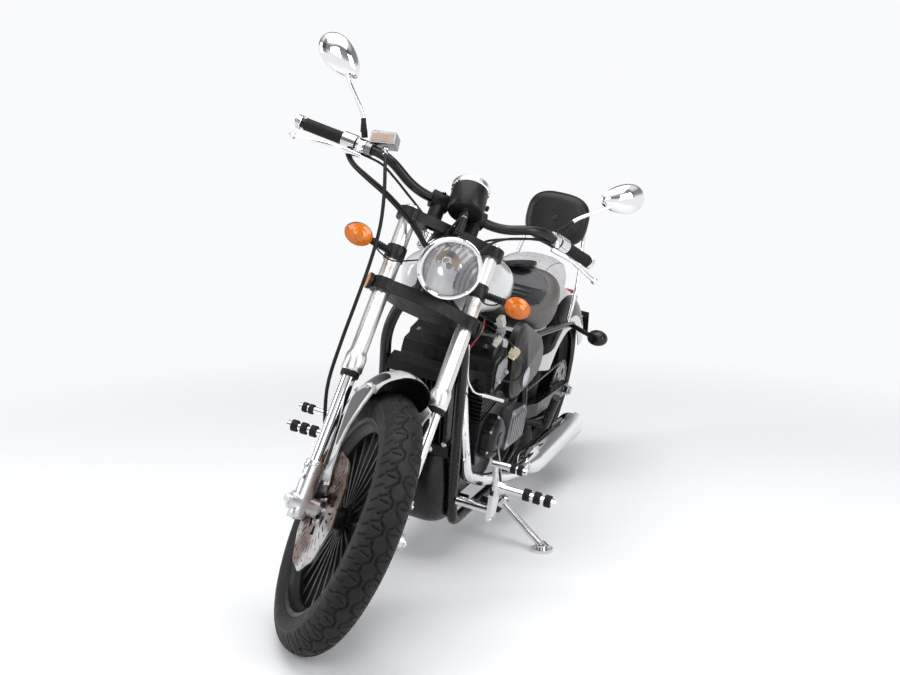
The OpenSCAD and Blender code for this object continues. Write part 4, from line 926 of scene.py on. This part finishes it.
b.bolt(pivot + axis * 12, axis, 9, 0)
b.put("stand_tang", "stand", ["chrome_soft"])

# Engine.
from_cad("engine_block", "chassis", ["engine_black"], 3.0)
from_cad("cylinder_head", "chassis", ["engine_black", "engine_grey"], 1.4,
        paint=lambda p: 1 if abs((CHASSIS.inverted() @ p.center).x) > 143.5 else 0)
trim("chassis", ("engine_covers", "engine_black", 1.4), ("sprocket_cover", "engine_grey", 2.0))


def on_badge(face):
    """1 on the round badge of a side cover."""
    at = CHASSIS.inverted() @ face.center
    return 1 if abs(at.x) > 163 and hypot(at.y - 905, at.z - 380) < 30 else 0


from_cad("side_covers", "chassis", ["cover_grey", "badge"], 0.0, 58, paint=on_badge)
from_cad("radiator", "chassis", ["black_satin"], 1.0)
PAN = curve_through([(508, 210), (503, 150), (507, 94), (522, 46), (550, 8), (590, -12), (640, -16), (700, -16)], 7)
PAN_BACK = curve_through([(560, 210), (584, 168), (600, 140), (620, 104), (640, 70), (670, 46), (690, 32), (700, 26)],
        7)
rings = []
for front, rear in zip(PAN, PAN_BACK):
    inward = (rear - front) / np.linalg.norm(rear - front)
    ring = []
    for i in range(41):
        x = -1 + i / 20
        y, z = front + inward * min(40.0, np.linalg.norm(rear - front) - 1) * abs(x) ** 4.5
        ring.append((94.4 * x, y, z))
    ring += [(94.4 * (1 - i / 20), rear[0], rear[1]) for i in range(41)]
    rings.append(ring)
b = Build(CHASSIS)
b.rings(rings)
for s in (-1, 1):
    b.bolt((s * 90, 560, 150), (s, -0.4, 0), 5, 1)
b.put("belly_pan_shell", "chassis", ["black_metal", "chrome_soft"], ("belly_pan",), smooth=60)
trim("chassis", ("exhaust", "chrome", 0.0, 60), ("mufflers", "chrome", 1.0), ("foot_controls", "chrome", 1.4),
        ("peg_rubbers", "rubber", 1.6), ("passenger_pegs", "black_metal", 1.6), ("plate_bracket", "black_metal", 0.8),
        ("rear_caliper", "black_metal", 1.6), ("sissy_bar", "chrome", 0.0, 70), ("rear_signals", "smoke", 0.0, 60))
b = Build(TAIL @ turn(-44, "X") @ move(0, 0, 348.3))
b.spin([(0, 0.2), (26, 0.2), (26, 9.5), (0, 9.5)], None, 40, 0)


def lamp_ring(z, x, y):
    return [(x * bulge(c, 5), y * bulge(s, 5), z) for c, s in circle(72)]


b.rings([lamp_ring(*q) for q in ((9, 45, 28), (10, 47.6, 30.6), (19, 47.8, 30.8), (20.5, 46.6, 29.6))], 0)
lens = [(20.5, 45.6, 28.6)]
for k in range(5):
    lens += [(21.5 + 3 * k, 46.2 - 0.3 * k, 29.2 - 0.3 * k), (23 + 3 * k, 45.2 - 0.3 * k, 28.2 - 0.3 * k)]
b.rings([lamp_ring(*q) for q in lens + [(38, 43, 26), (41, 38, 21), (42.6, 26, 12), (43, 4, 2)]], 1)
b.put("tail_light_lamp", "chassis", ["chrome", "red_lens"], ("tail_light",), smooth=30)
from_cad("fuel_cap", "chassis", ["chrome"], 0.8)
b = Build(CHASSIS)
for s in (-1, 1):
    for k in range(6):
        t = radians(60 * k)
        b.bolt((s * 144.2, 760 + 61 * sin(t), 222 - 61 * cos(t)), (s, 0, 0), 4.2, 0, True)
    for y, z in ((866, 176), (996, 176), (1008, 214), (880, 268), (990, 262)):
        if s > 0:
            b.bolt((156.2, y, z), (1, 0, 0), 4.2, 0, True)
b.place = CHASSIS @ move(0, 735, 302) @ turn(14, "X")
for s in (-1, 1):
    for k in (-32, 32):
        b.bolt((s * 148, k, 122), (s, 0, 0), 5, 0)
    for x in (-100, 100):
        for k in (-1, 1):
            b.bolt((x, k * 30, 219), (0, 0, 1), 5, 0)
b.put("engine_bolts", "chassis", ["chrome_soft"], bevel=0.3)
b = Build(CHASSIS @ move(0, 486, 350) @ turn(18, "X"))
for gap in range(-5, 5):
    x0, x1 = max(-75, 16 * gap + 2), min(75, 16 * gap + 14)
    for k in range(72):
        z = -108 + 3 * k
        b.add([(x0, -14, z), (x1, -14, z + 1.5), (x1, -4, z + 1.5), (x0, -4, z)], [[0, 1, 2, 3]], 0)
        b.add([(x0, -14, z + 3), (x1, -14, z + 1.5), (x1, -4, z + 1.5), (x0, -4, z + 3)], [[0, 1, 2, 3]], 0)
for s in (-1, 1):
    b.bolt((s * 80, -18, -96), (0, -1, 0), 5, 1)
    b.bolt((s * 80, -18, 96), (0, -1, 0), 5, 1)
b.bolt((40, -22, -118), (0, -1, 0), 6, 1)
b.put("radiator_fins", "chassis", ["black_metal", "chrome_soft"], smooth=20)

# Tank, seats and backrest.
b = Build(CHASSIS)
b.rings(loft_rings([[436, 66, 650, 730, 2.6, 0], [450, 96, 632, 750, 2.6, 0], [500, 126, 614, 764, 2.5, 0],
        [580, 138, 602, 766, 2.5, 0], [660, 134, 592, 758, 2.5, 0], [740, 120, 588, 742, 2.5, 0],
        [790, 92, 594, 724, 2.5, 0], [806, 66, 616, 702, 2.4, 0]], 88, 10))
b.put("fuel_tank_shell", "chassis", ["white_paint"], ("fuel_tank",), smooth=50, bevel=3.0)


def stuffed(name, build, place, body, of, mats, seams, paint, voxel=0.006, pressure=4.0, cap=0.012):
    """A pad blown up between its seams: seams says which local points are stitched down."""
    me = bpy.data.meshes.new(name)
    me.from_pydata([tuple(p) for p in build.v], [], build.f)
    tmp = bpy.data.objects.new(name + "_form", me)
    scene.collection.objects.link(tmp)
    turn_outward(me)
    mod = tmp.modifiers.new("cells", "REMESH")
    mod.mode, mod.voxel_size = "VOXEL", voxel * 1
    deps = bpy.context.evaluated_depsgraph_get()
    shape = bpy.data.meshes.new_from_object(tmp.evaluated_get(deps))
    tmp.modifiers.clear()
    tmp.data = shape
    inv = place.inverted()
    rest = np.array([v.co for v in shape.vertices])
    local = np.array([inv @ v.co for v in shape.vertices])
    pins = [i for i, p in enumerate(local) if seams(p)]
    tmp.vertex_groups.new(name="pin").add(pins, 1.0, "REPLACE")
    cloth = tmp.modifiers.new("stuffing", "CLOTH")
    cloth.settings.quality = 5
    cloth.settings.use_pressure = True
    cloth.settings.uniform_pressure_force = pressure
    cloth.settings.vertex_group_mass = "pin"
    cloth.settings.effector_weights.gravity = 0
    cloth.point_cache.frame_start, cloth.point_cache.frame_end = 1, 20
    for f in range(1, 21):
        scene.frame_set(f)
    deps = bpy.context.evaluated_depsgraph_get()
    blown = bpy.data.meshes.new_from_object(tmp.evaluated_get(deps))
    step = np.array([v.co for v in blown.vertices]) - rest
    far = np.linalg.norm(step, axis=1, keepdims=True)
    step *= np.minimum(1, cap / np.maximum(far, 1e-9))
    shape.vertices.foreach_set("co", (rest + step).ravel().tolist())
    scene.frame_set(1)
    tmp.modifiers.clear()
    bpy.data.objects.remove(tmp)
    out = shape.copy()
    out.name = name
    out.materials.clear()
    out.polygons.foreach_set("material_index", [paint(inv @ p.center, inv.to_3x3() @ p.normal) for p in out.polygons])
    o = finish_mesh(name, out, body, mats, of, 80)
    sub = o.modifiers.new("soft", "SUBSURF")
    sub.levels = sub.render_levels = 1
    return o


def on_top(o, path, lift):
    """The path, in metres, laid on the piece from above."""
    deps = bpy.context.evaluated_depsgraph_get()
    tree = BVHTree.FromObject(o, deps)
    out = []
    for p in path:
        hit = tree.ray_cast(p + Vector((0, 0, 0.3)), Vector((0, 0, -1)))
        if hit[0] is not None:
            out.append(hit[0] + Vector((0, 0, lift)))
    return out


SEAT = [[811, 66, 562, 626, 2.4, 4], [850, 92, 544, 606, 2.6, 8], [940, 130, 516, 592, 2.8, 16],
        [1040, 152, 480, 590, 2.8, 24], [1130, 152, 457.6, 614, 2.8, 26], [1190, 146, 455.6, 650, 2.8, 16],
        [1232, 138, 458.6, 650, 2.8, 6]]


def seat_inner(y):
    """Half width of the seat's middle panel."""
    return float(np.interp(y, [816, 860, 940, 1040, 1110, 1160, 1186, 1194], [36, 64, 98, 120, 122, 112, 90, 60]))


def seat_rim(y):
    """Height of the seat's top edge."""
    return float(np.interp(y, [q[0] for q in SEAT], [q[3] for q in SEAT]))


b = Build(CHASSIS)
b.rings(loft_rings(SEAT, 64, 8))


def seat_held(p):
    """Where the cover is fixed: the skirt below and the seam around the inner panel."""
    on_seam = abs(abs(p[0]) - seat_inner(p[1])) < 4 and 818 < p[1] < 1192
    return p[2] < seat_rim(p[1]) - 64 or (on_seam and p[2] > seat_rim(p[1]) - 50)


def seat_panel(p, n):
    """1 on the darker inner panel."""
    return 1 if abs(p.x) < seat_inner(p.y) and p.y < 1190 and n.z > 0.12 else 0


rider = stuffed("rider_seat", b, CHASSIS, "chassis", ("seat",), ["leather", "leather_dark"], seat_held, seat_panel)
PILLION = [[-387.6, 112, 330, 474, 2.8, 0], [-320, 116, 322, 482, 2.8, 0], [-220, 106, 320, 482, 2.8, 0],
        [-150, 88, 315.6, 472, 2.8, 0], [-130, 70, 328.4, 458, 2.6, 0]]
b = Build(TAIL)
b.rings(loft_rings(PILLION, 64, 10))
pillion = stuffed("pillion_pad", b, TAIL, "chassis", ("passenger_seat",), ["leather_grey"],
        lambda p: p[2] < 404 or (abs(abs(p[0]) - 74) < 3.5 and p[2] > 440), lambda p, n: 0, cap=0.010)
PAD = move(0, -65, 586) @ turn(-10, "X")
b = Build(TAIL @ PAD)
b.rings(oval_rings([[-30, 80, 62], [-24, 98, 78], [-12, 106, 86], [0, 108, 88], [16, 100, 80]], 64, 5, 2.8))
stuffed("backrest_cushion", b, TAIL @ PAD, "chassis", ("backrest_pad",), ["leather_black"],
        lambda p: p[1] > 6 or hypot(p[0], p[2]) < 9 or abs(hypot(p[0] / 84, p[2] / 66) - 1) < 0.045,
        lambda p, n: 0, 0.005, 5.0, 0.009)

# Stitching and buttons.
b = Build()
for s in (-1, 1):
    on_rider = [CHASSIS @ Vector((s * seat_inner(y), y, 600)) for y in range(824, 1186, 4)]
    on_pillion = [TAIL @ Vector((s * 74, y, 470)) for y in range(-378, -150, 4)]
    for pad, seam in ((rider, on_rider), (pillion, on_pillion)):
        line = on_top(pad, seam, 0.0006)
        for p, q in zip(line[::2], line[1::2]):
            b.tube([p, mix(p, q, 0.5) + Vector((0, 0, 0.0004)), q], 0.0009, 6)
b.put("seat_stitching", "chassis", ["thread"])
b = Build()
for p in on_top(rider, [CHASSIS @ Vector((0, 1212, 640))], 0.0):
    b.spin([(0.0125, -0.002), (0.013, 0.002), (0.011, 0.005), (0.006, 0.0066), (0, 0.007)], Matrix.Translation(p), 28)
b.place = TAIL @ PAD
b.spin_between(Vector((0, -26, 0)), Vector((0, -40, 0)), [(9, 0), (10, 3), (9, 6), (5, 8), (0, 8.6)], 28)
b.put("seat_buttons", "chassis", ["leather_black"])

# Wiring under the tank on the left, and the small rods of the engine.
b = Build(CHASSIS)
b.tube(rounded([(112, 448, 556), (122, 462, 456), (132, 510, 414), (140, 600, 386)], 24, 8), 3, 14, 0)
b.tube([(136, 560, 398), (141, 620, 380), (150, 742, 341)], 6.5, 20, 0)
for s in (1, -1):
    b.tube(rounded([(s * 160, 760, 190), (s * 190, 700, 170), (s * 232, 600, 150), (s * 240, 560, 170)], 20, 8), 4.5,
            16, 0)
b.put("engine_rods", "chassis", ["chrome"])
PLUGS = [[(158, 744, 487), (22, 26, 24), -24, 14, 0], [(121, 680, 580), (18, 26, 26), 12, -14, 2],
        [(126, 676, 552), (20, 26, 20), 26, 0, 1], [(128, 656, 532), (14, 20, 22), -30, 10, 2]]
b = Build(CHASSIS)
for c, size, tip_x, tip_y, mat in PLUGS:
    at = move(*c) @ turn(tip_x, "X") @ turn(tip_y, "Y")
    b.block((0, 0, 0), size, at, mat)
    b.block((0, 0, -size[2] / 2 - 4), (size[0] * 0.8, size[1] * 0.8, 9), at, mat)
    b.block((size[0] / 2 + 1.5, 0, 2), (4, size[1] * 0.34, size[2] * 0.6), at, mat)
    for k in (-1, 1):
        b.block((0, k * size[1] * 0.25, size[2] / 2 + 1), (size[0] * 0.7, size[1] * 0.3, 3), at, mat)
b.put("wire_plugs", "chassis", ["plug_cream", "plug_grey", "plug_white"], bevel=0.9)
cable("plug_lead", [(106, 640, 566), (124, 676, 546), (140, 704, 530), (150, 726, 512), (157, 741, 496)], CHASSIS,
        "chassis", 5, "cable", 18)
cable("plug_wire", [(159, 749, 480), (164, 776, 466), (169, 806, 450), (172, 822, 430), (171, 822, 410),
        (165, 806, 396), (156, 780, 392), (146, 748, 398), (138, 722, 408)], CHASSIS, "chassis", 5, "cable",
        30)
cable("red_wire", [(92, 616, 590), (98, 600, 576), (104, 574, 568), (107, 540, 560), (107, 506, 549), (107, 472, 532),
        (108, 450, 514)], CHASSIS, "chassis", 4.4, "wire_red", 20)
cable("harness", [(98, 440, 590), (114, 510, 576), (126, 600, 556), (122, 690, 540), (106, 760, 538), (94, 820, 522),
        (84, 872, 503)], CHASSIS, "chassis", 9, "cable", 24)

# Floor, backdrop and light: white to the eye and in reflections, with the shadow kept on the floor.
BACKDROP, AMBIENT = (0.955, 0.96, 0.975), (0.34, 0.35, 0.37)
FADE_START, FADE_END = 1.2, 3.0


def seen(nodes, links):
    """One on camera, glossy and transmission rays."""
    path = nodes.new("ShaderNodeLightPath")
    both = []
    for first, second in (("Is Camera Ray", "Is Glossy Ray"), (None, "Is Transmission Ray")):
        n = nodes.new("ShaderNodeMath")
        n.operation = "MAXIMUM"
        links.new(path.outputs[first] if first else both[0], n.inputs[0])
        links.new(path.outputs[second], n.inputs[1])
        both.insert(0, n.outputs[0])
    return both[0], path.outputs["Is Camera Ray"]


floor = bpy.data.materials.new("floor")
floor.use_nodes = True
nodes, links = floor.node_tree.nodes, floor.node_tree.links
ray = seen(nodes, links)[0]
bsdf = nodes["Principled BSDF"]
bsdf.inputs["Roughness"].default_value = 0.8
bsdf.inputs["Specular IOR Level"].default_value = 0.1
tone = mixed(floor.node_tree, ray, (0.6, 0.6, 0.6), (0.93, 0.93, 0.94))
links.new(tone, bsdf.inputs["Base Color"])
white = nodes.new("ShaderNodeEmission")
white.inputs["Color"].default_value = (*BACKDROP, 1)
place = nodes.new("ShaderNodeNewGeometry")
far = nodes.new("ShaderNodeVectorMath")
far.operation = "LENGTH"
links.new(place.outputs["Position"], far.inputs[0])
fade = nodes.new("ShaderNodeMapRange")
fade.interpolation_type = "SMOOTHSTEP"
fade.inputs["From Min"].default_value, fade.inputs["From Max"].default_value = FADE_START, FADE_END
links.new(far.outputs["Value"], fade.inputs["Value"])
share = nodes.new("ShaderNodeMath")
share.operation = "MULTIPLY"
links.new(fade.outputs["Result"], share.inputs[0])
links.new(ray, share.inputs[1])
blend = nodes.new("ShaderNodeMixShader")
links.new(share.outputs[0], blend.inputs[0])
links.new(bsdf.outputs[0], blend.inputs[1])
links.new(white.outputs[0], blend.inputs[2])
links.new(blend.outputs[0], nodes["Material Output"].inputs["Surface"])
bpy.ops.mesh.primitive_plane_add(size=120, location=(0, 30, 0))
ground = bpy.context.object
ground.name = "studio_floor"
ground.data.materials.append(floor)

world = bpy.data.worlds.new("studio")
scene.world = world
world.use_nodes = True
nodes, links = world.node_tree.nodes, world.node_tree.links
ray, eye = seen(nodes, links)
coord = nodes.new("ShaderNodeTexCoord")
split = nodes.new("ShaderNodeSeparateXYZ")
links.new(coord.outputs["Generated"], split.inputs[0])


def ramp(value, stops):
    n = nodes.new("ShaderNodeValToRGB")
    links.new(value, n.inputs[0])
    while len(n.color_ramp.elements) < len(stops):
        n.color_ramp.elements.new(0.5)
    for e, (at, grey) in zip(n.color_ramp.elements, stops):
        e.position, e.color = at, (grey, grey * 1.005, grey * 1.02, 1)
    return n.outputs["Color"]


studio = ramp(split.outputs["Z"], [(0.0, 0.93), (0.1, 0.9), (0.24, 0.3), (0.5, 0.22), (0.66, 0.8), (1.0, 0.9)])
round_ = nodes.new("ShaderNodeTexGradient")
round_.gradient_type = "RADIAL"
links.new(coord.outputs["Generated"], round_.inputs[0])
bands = ramp(round_.outputs["Fac"], [(0.0, 1), (0.1, 0.95), (0.13, 0.3), (0.17, 0.3), (0.2, 1), (0.41, 1),
        (0.44, 0.35), (0.48, 0.35), (0.51, 1), (0.74, 1), (0.78, 0.25), (0.85, 0.25), (0.9, 1)])
dim = nodes.new("ShaderNodeMix")
dim.data_type, dim.blend_type = "RGBA", "MULTIPLY"
dim.inputs["Factor"].default_value = 1.0
links.new(studio, dim.inputs[6])
links.new(bands, dim.inputs[7])
shown = mixed(world.node_tree, ray, AMBIENT, dim.outputs[2])
shown = mixed(world.node_tree, eye, shown, BACKDROP)
links.new(shown, nodes["Background"].inputs["Color"])


def softbox(name, place, aim, size, power):
    data = bpy.data.lights.new(name, "AREA")
    data.shape, data.size, data.size_y, data.energy = "RECTANGLE", size[0], size[1], power
    o = bpy.data.objects.new(name, data)
    scene.collection.objects.link(o)
    o.location = place
    o.rotation_euler = (Vector(aim) - Vector(place)).to_track_quat("-Z", "Y").to_euler()


softbox("top_box", (0.2, -0.4, 3.6), (0, 0, 0.4), (3.6, 3.6), 105)
softbox("left_box", (3.6, -1.4, 1.9), (0, 0, 0.6), (1.6, 2.4), 55)
softbox("right_box", (-3.4, -1.8, 1.9), (0, 0, 0.6), (1.2, 2.4), 50)
softbox("front_box", (0.6, -4.4, 2.6), (0, -0.2, 0.6), (2.4, 1.4), 42)
scene.view_settings.view_transform = "Standard"
